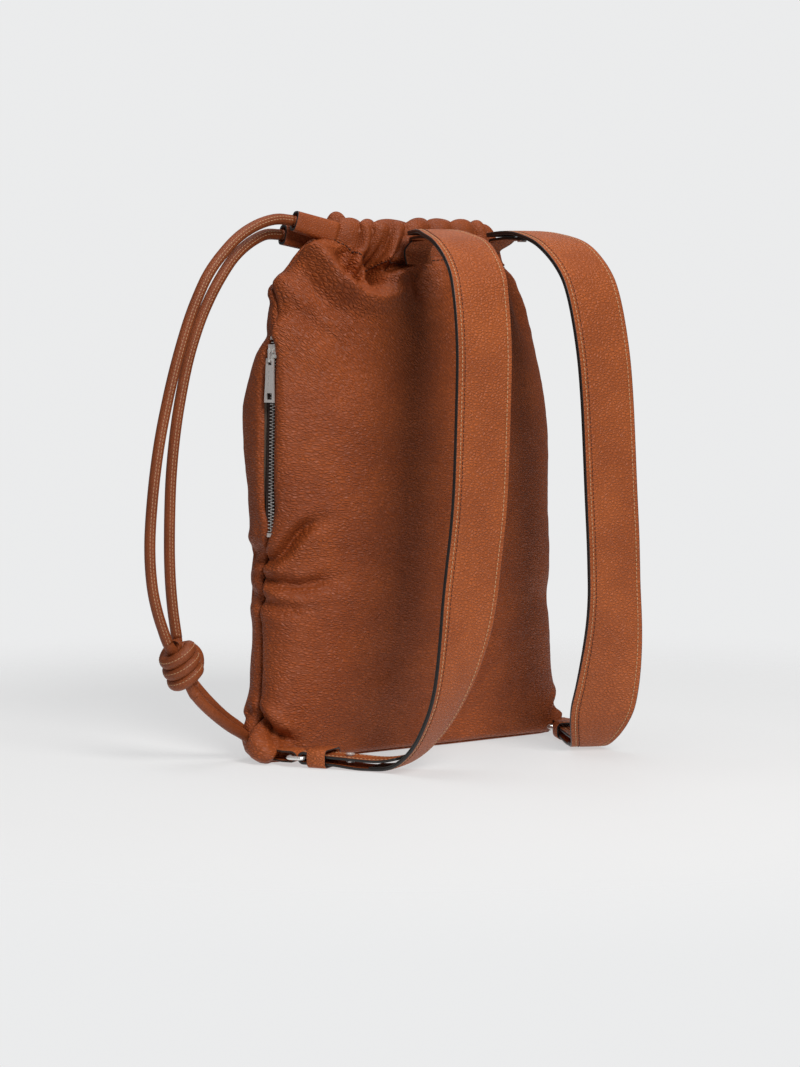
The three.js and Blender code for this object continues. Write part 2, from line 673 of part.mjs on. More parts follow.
// The loop of leather round both layers of the tail.
function addKeeper(name, centre, across, along) {
  const [w, h, round] = [tailWidth / 2 + 0.9, 6, 1];
  const rings = [];
  for (const [x, z, start] of [[1, 1, 0], [-1, 1, 90], [-1, -1, 180], [1, -1, 270]]) {
    for (let i = 0; i <= 2; i += 1) {
      const angle = THREE.MathUtils.degToRad(start + 45 * i);
      const at = (reach, y) => centre.clone()
        .addScaledVector(across, x * (w - round) + reach * Math.cos(angle))
        .addScaledVector(along, y)
        .add(new THREE.Vector3(0, 0, z * (h - round) + reach * Math.sin(angle)));
      const [outside, half] = [round + keeperWall, keeperLength / 2];
      rings.push([at(outside, -half), at(outside, half), at(round, half), at(round, -half)]);
    }
  }
  add(`${name}_keeper`, loft(rings, 'joined'), strapLeather);
}

// The leather loop at the bag's bottom corner that holds the ring, with room for it to turn.
function addCornerTab(name, bar, across, along, side) {
  const [reach, half, thick] = [5.2, 4, 1.5];
  const into = 30;
  const at = (out, z) => bar.clone().addScaledVector(along, -out).add(new THREE.Vector3(0, 0, z));
  const round = Array.from({ length: 9 }, (_, i) => {
    const angle = (Math.PI * i) / 8;
    return at(reach * Math.sin(angle), -half * Math.cos(angle));
  });
  const points = [at(-into, -half), at(-into / 2, -half), ...round, at(-into / 2, half), at(-into, half)];
  const frames = points.map((p, i) => {
    const before = points[Math.max(i - 1, 0)];
    const after = points[Math.min(i + 1, points.length - 1)];
    const direction = after.clone().sub(before).normalize();
    return { p, across, out: direction.cross(across) };
  });
  const tab = band(frames, () => 21, -thick / 2, thick / 2);
  const plugOutline = (z) => Array.from({ length: 64 }, (_, i) =>
    wall((2 * Math.PI * (i + 0.5)) / 64, Math.max(z, 0), -gap).setZ(z));
  const plug = loft([-2, 4, 9, 14, 20].map(plugOutline));
  add(`${name}_corner_tab`, cut(tab, plug), strapLeather);
}

addBody();
addCasing();
addCasingCord();
addSleeve('sleeve_back', sleeves.back);
addSleeve('sleeve_front', sleeves.front);
addDrawstring();
addZip();
for (const [name, strap] of Object.entries(straps)) addStrap(name, strap);

export default group;
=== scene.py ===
"""A soft leather drawstring backpack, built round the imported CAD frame.

Shapes are worked out in millimetres, +Z up, with the straps on the -Y side and the zip and
the drawstring on the -X side, and turned into metres when a mesh is made.
"""
import math

import bpy
import numpy as np
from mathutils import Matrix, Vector, noise


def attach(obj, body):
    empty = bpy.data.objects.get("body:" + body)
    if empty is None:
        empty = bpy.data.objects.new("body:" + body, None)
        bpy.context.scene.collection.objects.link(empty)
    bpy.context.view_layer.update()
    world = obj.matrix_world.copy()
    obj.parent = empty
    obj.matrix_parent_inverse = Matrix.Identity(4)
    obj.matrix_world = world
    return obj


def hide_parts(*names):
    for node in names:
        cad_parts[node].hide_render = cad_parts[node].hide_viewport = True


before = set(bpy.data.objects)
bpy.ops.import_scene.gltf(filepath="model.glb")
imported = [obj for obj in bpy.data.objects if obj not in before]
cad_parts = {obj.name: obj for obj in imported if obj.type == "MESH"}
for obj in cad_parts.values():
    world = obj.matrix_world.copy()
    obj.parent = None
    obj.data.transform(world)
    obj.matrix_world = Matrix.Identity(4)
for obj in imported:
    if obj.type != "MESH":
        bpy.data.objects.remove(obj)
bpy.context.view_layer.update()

MM = 0.001

# ------------------------------------------------------------------ camera, stage and lights

CAMERA_AT = (-1.754, -2.248, 0.4)
CAMERA_AZIMUTH = -38.0
CAMERA_PITCH = 4.42
CAMERA_LENS = 114.07


def add_camera():
    data = bpy.data.cameras.new("camera")
    data.lens = CAMERA_LENS
    data.sensor_width = 36.0
    camera = bpy.data.objects.new("camera", data)
    camera.location = CAMERA_AT
    camera.rotation_euler = (math.radians(90 - CAMERA_PITCH), 0, math.radians(CAMERA_AZIMUTH))
    bpy.context.scene.collection.objects.link(camera)
    bpy.context.scene.camera = camera


def area_light(name, at, aim, size, power, tint=(1, 1, 1)):
    data = bpy.data.lights.new(name, "AREA")
    data.shape = "DISK"
    data.size = size
    data.energy = power
    data.color = tint
    light = bpy.data.objects.new(name, data)
    light.location = at
    light.rotation_euler = (Vector(aim) - Vector(at)).to_track_quat("-Z", "Y").to_euler()
    bpy.context.scene.collection.objects.link(light)


def add_lights():
    area_light("key", (-0.5, -2.35, 2.0), (0, 0, 0.2), 1.3, 75, (1, 0.98, 0.95))
    area_light("top", (-0.2, 0.1, 2.4), (0, 0, 0.2), 1.6, 22)
    area_light("side", (-2.6, 0.5, 0.7), (0, 0, 0.25), 1.5, 1.3)
    area_light("rim", (1.6, 1.7, 1.3), (0, 0, 0.25), 1.8, 4)


def add_world(seen=(0.83, 0.835, 0.84), lit=0.16):
    """A pale studio: one brightness for what the camera sees and one that lights the bag."""
    world = bpy.data.worlds.new("studio")
    bpy.context.scene.world = world
    world.use_nodes = True
    nodes, links = world.node_tree.nodes, world.node_tree.links
    nodes.clear()
    out = nodes.new("ShaderNodeOutputWorld")
    mix = nodes.new("ShaderNodeMixShader")
    path = nodes.new("ShaderNodeLightPath")
    shown = nodes.new("ShaderNodeBackground")
    shown.inputs["Color"].default_value = (*seen, 1)
    ambient = nodes.new("ShaderNodeBackground")
    ambient.inputs["Color"].default_value = (lit, lit, lit * 1.01, 1)
    links.new(path.outputs["Is Camera Ray"], mix.inputs[0])
    links.new(ambient.outputs[0], mix.inputs[1])
    links.new(shown.outputs[0], mix.inputs[2])
    links.new(mix.outputs[0], out.inputs["Surface"])


# ------------------------------------------------------------------ materials


# Where a Mix node keeps its first value and its result, for each type of data.
MIX_SOCKETS = {"FLOAT": (2, 0), "RGBA": (6, 2)}


class Nodes:
    """A short way to write a material's node tree."""

    def __init__(self, name):
        self.material = bpy.data.materials.new(name)
        self.material.use_nodes = True
        self.tree = self.material.node_tree
        self.shader = self.tree.nodes["Principled BSDF"]
        self.place = self.add("TexCoord").outputs["Object"]

    def add(self, kind, values=None, **settings):
        """A new node, with its settings set and its sockets fed."""
        node = self.tree.nodes.new("ShaderNode" + kind)
        for key, value in settings.items():
            setattr(node, key, value)
        for key, value in (values or {}).items():
            self.feed(value, node.inputs[key])
        return node

    def feed(self, value, socket):
        """Set a socket to a colour, a vector or a number, or link a node's output to it."""
        if isinstance(value, tuple):
            socket.default_value = (*value, 1)[:len(socket.default_value)]
        elif isinstance(value, (int, float)):
            socket.default_value = value
        else:
            self.tree.links.new(value, socket)

    def mapping(self, scale=(1, 1, 1), turn=(0, 0, 0)):
        values = {"Vector": self.place, "Rotation": turn, "Scale": tuple(1 / s for s in scale)}
        return self.add("Mapping", values, vector_type="TEXTURE").outputs[0]

    def noise(self, scale, detail, vector=None):
        values = {"Scale": scale, "Detail": detail, "Vector": vector or self.place}
        return self.add("TexNoise", values).outputs["Fac"]

    def cracks(self, scale, vector):
        values = {"Scale": scale, "Vector": vector}
        return self.add("TexVoronoi", values, feature="DISTANCE_TO_EDGE").outputs["Distance"]

    def warp(self, vector, scale, amount):
        """Coordinates pushed about by a noise, so that a pattern isn't regular."""
        push = self.add("TexNoise", {"Scale": scale, "Detail": 1.0, "Vector": self.place})
        values = {0: push.outputs["Color"], 1: (amount, amount, amount), 2: vector}
        return self.add("VectorMath", values, operation="MULTIPLY_ADD").outputs[0]

    def ramp(self, value, low, high, to_low=0.0, to_high=1.0):
        values = {"Value": value, "From Min": low, "From Max": high, "To Min": to_low, "To Max": to_high}
        return self.add("MapRange", values, interpolation_type="SMOOTHSTEP").outputs[0]

    def math(self, operation, a, b):
        return self.add("Math", {0: a, 1: b}, operation=operation).outputs[0]

    def mix(self, factor, a, b, kind="RGBA"):
        """b over a: two colours, or two plain values when the kind is FLOAT."""
        first, result = MIX_SOCKETS[kind]
        return self.add("Mix", {0: factor, first: a, first + 1: b}, data_type=kind).outputs[result]

    def height(self):
        return self.add("SeparateXYZ", {0: self.place}).outputs["Z"]

    def bump(self, height, distance, strength=1.0, below=None):
        values = {"Height": height, "Distance": distance, "Strength": strength}
        if below is not None:
            values["Normal"] = below
        return self.add("Bump", values).outputs[0]

    def finish(self, color, roughness, normal, **fixed):
        """Wire up the shader. The fixed values are the same all over, on its own sockets."""
        values = {"Base Color": color, "Roughness": roughness, "Normal": normal, **fixed}
        for key, value in values.items():
            self.feed(value, self.shader.inputs[key.replace("_", " ")])
        return self.material


def slant(degrees):
    """A turn about Y, which slants a pattern on the bag's front and back."""
    return (0, math.radians(degrees), 0)


def darker(color, share):
    return tuple(share * c for c in color)


def grain_height(n, cell, stretch, turn, wander):
    """Pebbled leather: soft rounded cells with creases between them."""
    stretched = n.warp(n.mapping(stretch, turn), 90, wander)
    return n.ramp(n.cracks(1 / cell, stretched), 0.0, 0.34)


# How the pebbles are drawn out along X, Y and Z: small numbers make them longer.
GRAIN_LONG = (0.4, 0.4, 1.1)
GRAIN_SHORT = (0.66, 0.66, 1.15)
# The heights, in metres, between which the body's grain turns from level to slanted.
SLANTS_FROM, SLANTS_TO = 0.25, 0.35


def leather(name, color, dark, cell=0.0021, depth=0.00066, wrinkled=False, roughness=0.5):
    """Grained leather, cell and depth in metres, with painted shade in the grain's creases. The body's is
    wrinkled as well.
    """
    n = Nodes(name)
    stretch = GRAIN_LONG if wrinkled else GRAIN_SHORT
    level = grain_height(n, cell, stretch, slant(9), 0.0014)
    if wrinkled:
        slanted = grain_height(n, cell, stretch, slant(42), 0.0018)
        high = n.ramp(n.height(), SLANTS_FROM, SLANTS_TO)
        level = n.mix(high, level, slanted, "FLOAT")
    surface = n.bump(level, depth)
    surface = n.bump(n.noise(2600, 2.0), 0.00003, 0.2, below=surface)
    if wrinkled:
        lines = n.warp(n.mapping((45, 45, 210), slant(14)), 12, 1.4)
        steep = n.warp(n.mapping((60, 60, 260), slant(46)), 14, 1.6)
        waves = n.mix(high, n.noise(1.0, 1.6, lines), n.noise(1.0, 1.6, steep), "FLOAT")
        surface = n.bump(waves, 0.0012, 0.8, below=surface)
    worn = n.mix(n.ramp(n.noise(26, 3.0), 0.3, 0.72), dark, color)
    # Painted shade: the colour darkens in the grain's creases between the pebbles, where shade falls.
    painted_crease_shade = n.mix(n.ramp(level, 0.0, 0.5, 0.42, 0.0), worn, darker(dark, 0.42))
    polish = n.math("MULTIPLY", n.ramp(level, 0.0, 1.2), -0.08)
    rough = n.math("ADD", polish, roughness + 0.05)
    return n.finish(painted_crease_shade, rough, surface, Specular_IOR_Level=0.3)


def edge_paint():
    n = Nodes("edge_paint")
    surface = n.bump(n.noise(700, 3.0), 0.00015, 0.6)
    color = n.mix(n.noise(140, 2.0), (0.006, 0.005, 0.005), (0.02, 0.016, 0.014))
    return n.finish(color, 0.42, surface)


def thread(name, color):
    n = Nodes(name)
    twist = n.noise(1.0, 1.0, n.mapping((2400, 2400, 2400), (0.5, 0.5, 0.5)))
    return n.finish(n.mix(twist, darker(color, 0.6), color), 0.75, n.bump(twist, 0.00012, 0.8))


def plated_metal():
    n = Nodes("nickel")
    scratches = n.noise(1.0, 3.0, n.mapping((900, 900, 160)))
    rough = n.ramp(scratches, 0.3, 0.8, 0.27, 0.4)
    color = n.mix(n.noise(60, 2.0), (0.8, 0.79, 0.77), (0.88, 0.87, 0.85))
    return n.finish(color, rough, n.bump(scratches, 0.00003, 0.4), Metallic=0.72)


def woven(name, color, pitch):
    """Cloth or card: two sets of waves that cross."""
    n = Nodes(name)
    threads = []
    for turn in (slant(0), slant(90)):
        values = {"Scale": 1 / pitch, "Distortion": 0.6, "Vector": n.mapping(turn=turn)}
        threads.append(n.add("TexWave", values, bands_direction="X").outputs["Fac"])
    cloth = n.math("MULTIPLY", *threads)
    shaded = n.mix(cloth, darker(color, 0.45), color)
    return n.finish(shaded, 0.88, n.bump(cloth, 0.0002, 0.8), Sheen_Weight=0.15)


def floor_finish():
    """A pale floor that fades into the studio's own brightness away from the bag."""
    n = Nodes("floor")
    pale = n.mix(n.noise(3, 2.0), (0.3, 0.302, 0.304), (0.32, 0.322, 0.324))
    n.finish(pale, 0.7, n.bump(n.noise(300, 2.0), 0.0001, 0.1), Specular_IOR_Level=0.15,
             Emission_Color=(0.5, 0.502, 0.504), Emission_Strength=1.0)
    far = n.add("VectorMath", {0: n.place}, operation="LENGTH").outputs["Value"]
    clear = n.add("BsdfTransparent").outputs[0]
    faded = n.add("MixShader", {0: n.ramp(far, 0.42, 0.95), 1: n.shader.outputs[0], 2: clear})
    n.feed(faded.outputs[0], n.tree.nodes["Material Output"].inputs["Surface"])
    return n.material


TAN = (0.345, 0.075, 0.015)
TAN_DARK = (0.275, 0.056, 0.011)
GATHERED_TAN = (0.295, 0.064, 0.0128)
GATHERED_DARK = (0.235, 0.048, 0.0094)
STRAP_TAN = (0.44, 0.108, 0.026)
STRAP_DARK = (0.36, 0.084, 0.02)
CORD_TAN = (0.28, 0.066, 0.0165)
CORD_DARK = (0.22, 0.05, 0.0125)
body_leather = leather("body_leather", TAN, TAN_DARK, wrinkled=True)
strap_leather = leather("strap_leather", STRAP_TAN, STRAP_DARK, 0.0024, 0.0006)
gathered_leather = leather("gathered_leather", GATHERED_TAN, GATHERED_DARK, 0.0017, 0.00034)
sleeve_leather = leather("sleeve_leather", TAN, TAN_DARK, 0.0014, 0.00026)
cord_leather = leather("cord_leather", CORD_TAN, CORD_DARK, 0.0013, 0.00018, roughness=0.44)
dark_backing = leather("dark_backing", (0.035, 0.018, 0.012), (0.02, 0.01, 0.007), 0.0018, 0.0002)
painted_edge = edge_paint()
light_thread = thread("light_thread", (0.62, 0.36, 0.19))
dark_thread = thread("dark_thread", (0.085, 0.022, 0.008))
nickel = plated_metal()
zip_cloth = woven("zip_cloth", (0.055, 0.022, 0.014), 0.0011)
lining_cloth = woven("lining_cloth", (0.2, 0.13, 0.09), 0.0009)
board_finish = woven("board_finish", (0.3, 0.28, 0.25), 0.0015)

# ------------------------------------------------------------------ mesh helpers


def new_piece(name, points, faces, materials, body, face_slots=None, smooth=True):
    """A mesh from points in millimetres, riding on a body of the frame."""
    mesh = bpy.data.meshes.new(name)
    mesh.from_pydata([tuple(p) for p in np.asarray(points) * MM], [], faces)
    for material in materials:
        mesh.materials.append(material)
    if face_slots is not None:
        mesh.polygons.foreach_set("material_index", face_slots)
    mesh.polygons.foreach_set("use_smooth", [smooth] * len(mesh.polygons))
    mesh.validate()
    mesh.update()
    piece = bpy.data.objects.new(name, mesh)
    bpy.context.scene.collection.objects.link(piece)
    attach(piece, body)
    return piece


def thicken(piece, thick):
    """Give a sheet its thickness, on its inner side."""
    solid = piece.modifiers.new("thickness", "SOLIDIFY")
    solid.thickness = thick * MM
    solid.offset = -1
    depsgraph = bpy.context.evaluated_depsgraph_get()
    mesh = bpy.data.meshes.new_from_object(piece.evaluated_get(depsgraph))
    piece.modifiers.clear()
    piece.data = mesh


def grid_faces(rows, columns, around=False, offset=0):
    """Quads of a grid of points; around joins each row's last point to its first."""
    faces = []
    for i in range(rows - 1):
        for j in range(columns if around else columns - 1):
            k = (j + 1) % columns
            here, above = offset + i * columns, offset + (i + 1) * columns
            faces.append((here + j, here + k, above + k, above + j))
    return faces


def closed_faces(rows, columns, offset=0):
    """Faces of a closed shape made of rings, with a cap on its first and last ring."""
    last = offset + (rows - 1) * columns
    first_cap = tuple(offset + j for j in reversed(range(columns)))
    last_cap = tuple(last + j for j in range(columns))
    return [*grid_faces(rows, columns, True, offset), first_cap, last_cap]


def flipped(faces):
    return [tuple(reversed(face)) for face in faces]


def normalised(v):
    return v / np.linalg.norm(v, axis=-1, keepdims=True)


def smoothstep(low, high, x):
    t = np.clip((np.asarray(x, float) - low) / (high - low), 0, 1)
    return t * t * (3 - 2 * t)


def curve(points, count):
    """Evenly spaced points on a smooth curve through the given ones."""
    p = np.array(points, float)
    ends = np.vstack([2 * p[0] - p[1], p, 2 * p[-1] - p[-2]])
    dense = []
    for i in range(len(p) - 1):
        a, b, c, d = ends[i:i + 4]
        t = np.linspace(0, 1, 24, endpoint=False)[:, None]
        dense.append(0.5 * (2 * b + (c - a) * t + (2 * a - 5 * b + 4 * c - d) * t ** 2
                            + (3 * b - a - 3 * c + d) * t ** 3))
    dense = np.vstack([*dense, p[-1:]])
    reach = distance_along(dense)
    at = np.linspace(0, reach[-1], count)
    return np.stack([np.interp(at, reach, dense[:, k]) for k in range(dense.shape[1])], 1)


def distance_along(points):
    """How far along a line each of its points is."""
    return np.concatenate([[0], np.cumsum(np.linalg.norm(np.diff(points, axis=0), axis=1))])


def length_of(points):
    return float(distance_along(np.asarray(points, float))[-1])


def path_frames(points, start_up=(0, 0, 1)):
    """Directions along a path and two across it that don't twist."""
    p = np.asarray(points, float)
    along = normalised(np.gradient(p, axis=0))
    side = normalised(np.cross(along[0], np.array(start_up, float)))
    sides = []
    for direction in along:
        side = side - direction * np.dot(side, direction)
        side = side / np.linalg.norm(side)
        sides.append(side)
    sides = np.array(sides)
    return along, sides, np.cross(sides, along)


def tube_mesh(points, radius, sides=16, offset=0, start_up=(0, 0, 1)):
    """Points and faces of a round tube with closed ends. radius is a number or one per point."""
    p = np.asarray(points, float)
    _, side, up = path_frames(p, start_up)
    radii = np.broadcast_to(np.asarray(radius, float), (len(p),))
    angles = np.linspace(0, 2 * math.pi, sides, endpoint=False)
    c, s = np.cos(angles)[None, :, None], np.sin(angles)[None, :, None]
    ring = c * side[:, None] + s * up[:, None]
    verts = (p[:, None] + ring * radii[:, None, None]).reshape(-1, 3)
    return verts, closed_faces(len(p), sides, offset)


def gather_meshes(parts):
    """One list of points and faces from several; each part is a function of its offset."""
    verts, faces, offset = [], [], 0
    for part in parts:
        v, f = part(offset)
        verts.append(v)
        faces += f
        offset += len(v)
    return np.vstack(verts), faces


# One stitch's shape: place along it, height above the leather, and thickness, as shares.
STITCH_SHAPE = (
    (-0.5, -0.35, 0.25), (-0.42, 0.05, 0.85), (0.0, 0.2, 1.0), (0.42, 0.05, 0.85),
    (0.5, -0.35, 0.25),
)


def stitch_row(line, outward, pitch=3.6, length=2.6, radius=0.42, sink=0.1):
    """Short sewn stitches along a line, each a little capsule lying on the surface."""
    line = np.asarray(line, float)
    reach = distance_along(line)

    def along(place, values):
        return np.array([np.interp(place, reach, values[:, k]) for k in range(3)])

    parts = []
    for start in np.arange(pitch / 2, reach[-1] - length, pitch):
        middle = start + length / 2
        at = along(middle, line)
        direction = normalised(along(middle + 0.5, line) - at)
        out = normalised(along(middle, outward))
        points = [at + direction * length * place + out * (radius * lift - sink)
                  for place, lift, _ in STITCH_SHAPE]
        radii = [radius * fat for _, _, fat in STITCH_SHAPE]
        parts.append(lambda offset, p=points, r=radii: tube_mesh(p, r, 6, offset, (0.3, 0.2, 1)))
    return parts


# ------------------------------------------------------------------ drawstring cords

CORD_RADIUS = 4.5
CORD_SIDES = 20
# The stitches on a cord: their angles round it, pitch, length and radius.
CORD_SEAMS = (math.pi, 2.6)
CORD_STITCH = (3.0, 2.2, 0.3)
UPPER_BACK = [
    (-116, -8, 442.2), (-132, -8, 443), (-150, -8, 438.5), (-168, -7.5, 429), (-184, -7, 415),
    (-198, -7, 399), (-209, -7, 380), (-219, -7, 358), (-230, -7, 327), (-239, -7, 296),
    (-247, -7, 262), (-253, -7, 224), (-256, -6.5, 184), (-254, -6, 152), (-248, -5.5, 127),
    (-238, -4.5, 102.5),
]
UPPER_FRONT = [
    (-115.5, 9, 430.8), (-131, 9, 430.5), (-148, 8.5, 423), (-163, 8, 411.5), (-176, 7.5, 396),
    (-188, 7, 378), (-199, 6.5, 357), (-209, 6.5, 330), (-217, 6, 300), (-223, 6, 268),
    (-227, 6, 232), (-229, 5.5, 190), (-229, 5, 158), (-227, 4.5, 130), (-223.5, 4, 105.5),
]
LOWER_BACK = [
    (-211.5, -2, 60.2), (-203, -1.5, 51.5), (-193, -1, 43), (-183, -0.5, 35.5), (-172.5, 0, 28.5),
    (-160.6, 0.8, 22), (-151, 1.6, 15.5),
]
LOWER_FRONT = [
    (-204, 9, 66.5), (-197, 9.5, 59), (-188.5, 9.5, 50.5), (-179.5, 10, 42.5), (-170, 10.5, 35),
    (-160.2, 11, 28.5), (-150, 11.5, 21),
]
KNOT_CENTRE = np.array([-223.0, -2.0, 84.0])


def add_cord(name, route, node):
    line = curve(route, max(24, int(length_of(route) / 3)))
    verts, faces = tube_mesh(line, CORD_RADIUS, CORD_SIDES)
    cord = new_piece(name, verts, faces, [cord_leather], "drawstring")
    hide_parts(node)
    _, side, up = path_frames(line)
    rows = []
    for turn in CORD_SEAMS:
        out = side * math.cos(turn) + up * math.sin(turn)
        rows += stitch_row(line + out * CORD_RADIUS, out, *CORD_STITCH)
    verts, faces = gather_meshes(rows)
    stitches = new_piece(name + "_stitches", verts, faces, [light_thread], "drawstring")
    length_of(line) * MM


def add_knot():
    """A stopper knot: wraps wound round the cords, with their ends tucked in."""
    axis = normalised(np.array([0.44, 0.05, -0.9]))
    across = normalised(np.cross(axis, np.array([0.62, 0.79, 0.0])))
    other = np.cross(axis, across)
    turns, samples, wrap, coil_radius, coil_height, coil_slant = 3.3, 150, 5.4, 11.4, 33, 4.5

    def spot(down, right, front=0):
        return KNOT_CENTRE + axis * down + across * right + other * front

    t = np.linspace(0, 1, samples)
    angle = 2 * math.pi * turns * t + 0.6
    ends = smoothstep(0, 0.09, t) * smoothstep(0, 0.09, 1 - t)
    reach = coil_radius * ends * (0.9 + 0.1 * np.sin(math.pi * t))
    down = (t - 0.5) * coil_height - coil_slant * np.cos(angle) * ends
    coil = spot(down[:, None], (reach * np.cos(angle))[:, None], -(reach * np.sin(angle))[:, None])
    loop = curve([spot(-12, -3), spot(-11, 9, -6), spot(0, 14, -8), spot(11, 9, -5), spot(14, -2)], 40)
    lines = [(coil, wrap), (loop, 4.8)]
    for upper, lower in ((UPPER_BACK, LOWER_BACK), (UPPER_FRONT, LOWER_FRONT)):
        run = curve([*upper[-2:], spot(-6, 0), spot(6, 0), *lower[:2]], 40)
        lines.append((run[4:-4], CORD_RADIUS - 0.1))
    verts, faces = gather_meshes([
        lambda offset, line=line, radius=radius: tube_mesh(line, radius, 18, offset, axis)
        for line, radius in lines
    ])
    knot = new_piece("knot", verts, faces, [cord_leather], "drawstring")
    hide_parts("cord_knot")
    from_middle = coil - KNOT_CENTRE
    rim = normalised(from_middle - axis * (from_middle @ axis)[:, None] - axis * 5)
    shown = slice(14, -14)
    rows = stitch_row((coil + rim * wrap)[shown], rim[shown], *CORD_STITCH)
    verts, faces = gather_meshes(rows)
    stitches = new_piece("knot_stitches", verts, faces, [light_thread], "drawstring")
    return knot


add_camera()
knot = add_knot()
add_cord("cord_upper_back_leather", UPPER_BACK, "cord_upper_back")
add_cord("cord_upper_front_leather", UPPER_FRONT, "cord_upper_front")
add_cord("cord_lower_back_leather", LOWER_BACK, "cord_lower_back")
add_cord("cord_lower_front_leather", LOWER_FRONT, "cord_lower_front")

# ------------------------------------------------------------------ the bag's skin

# The bag's outline at each height: z, half width, half depth, centre x, centre y, squareness.
HALF_WIDTH, HALF_DEPTH, MIDDLE_X, MIDDLE_Y, SQUARENESS = range(1, 6)
STATIONS = np.array([
    (0, 157, 31, 0, -3, 5), (28, 158, 37, 0, -2, 4.6), (60, 153, 49, 1, 0, 3.4),
    (120, 151, 58, 2, 0, 2.7), (200, 152, 63, 1, 0, 2.4), (280, 150, 62, 0, 0, 2.4),
    (340, 141, 54, -4, -2, 2.3), (390, 119, 43, 0, -6, 2.2), (418, 99, 34, 5, -8, 2.2),
    (445, 88, 30, 9, -9, 2.2),
], float)
LEFT_SEAM, RIGHT_SEAM = 193.0, 347.0
ZIP_BOTTOM, ZIP_TOP = 188.0, 345.0
MOUTH, BELOW_MOUTH = 445.0, 440.0


def station(z, column):
    """One value of the outline at each height, on a smooth curve through the stations."""
    heights, values = STATIONS[:, 0], STATIONS[:, column]
    slopes = np.empty_like(values)
    slopes[1:-1] = (values[2:] - values[:-2]) / (heights[2:] - heights[:-2])
    slopes[0] = (values[1] - values[0]) / (heights[1] - heights[0])
    slopes[-1] = (values[-1] - values[-2]) / (heights[-1] - heights[-2])
    i = np.clip(np.searchsorted(heights, z, side="right") - 1, 0, len(heights) - 2)
    span = heights[i + 1] - heights[i]
    t = (z - heights[i]) / span
    rise = t * t * (3 - 2 * t)
    bend = t * (1 - t) ** 2 * span * slopes[i] + t * t * (t - 1) * span * slopes[i + 1]
    return values[i] + (values[i + 1] - values[i]) * rise + bend


def wall(angle, z):
    """Points of the bag's plain wall at angles in degrees: 0 is +X, 90 is +Y."""
    z = np.asarray(z, float)
    turn = np.radians(angle)
    power = 2 / station(z, SQUARENESS)
    c, s = np.cos(turn), np.sin(turn)
    x = station(z, MIDDLE_X) + station(z, HALF_WIDTH) * np.sign(c) * np.abs(c) ** power
    y = station(z, MIDDLE_Y) + station(z, HALF_DEPTH) * np.sign(s) * np.abs(s) ** power
    return np.stack([x, y, z + 0 * x], -1)


def wall_normal(angle, z):
    around = wall(np.asarray(angle) + 0.4, z) - wall(np.asarray(angle) - 0.4, z)
    z = np.asarray(z, float)
    low, high = np.maximum(z - 1, 0), np.minimum(z + 1, MOUTH)
    return normalised(np.cross(around, wall(angle, high) - wall(angle, low)))


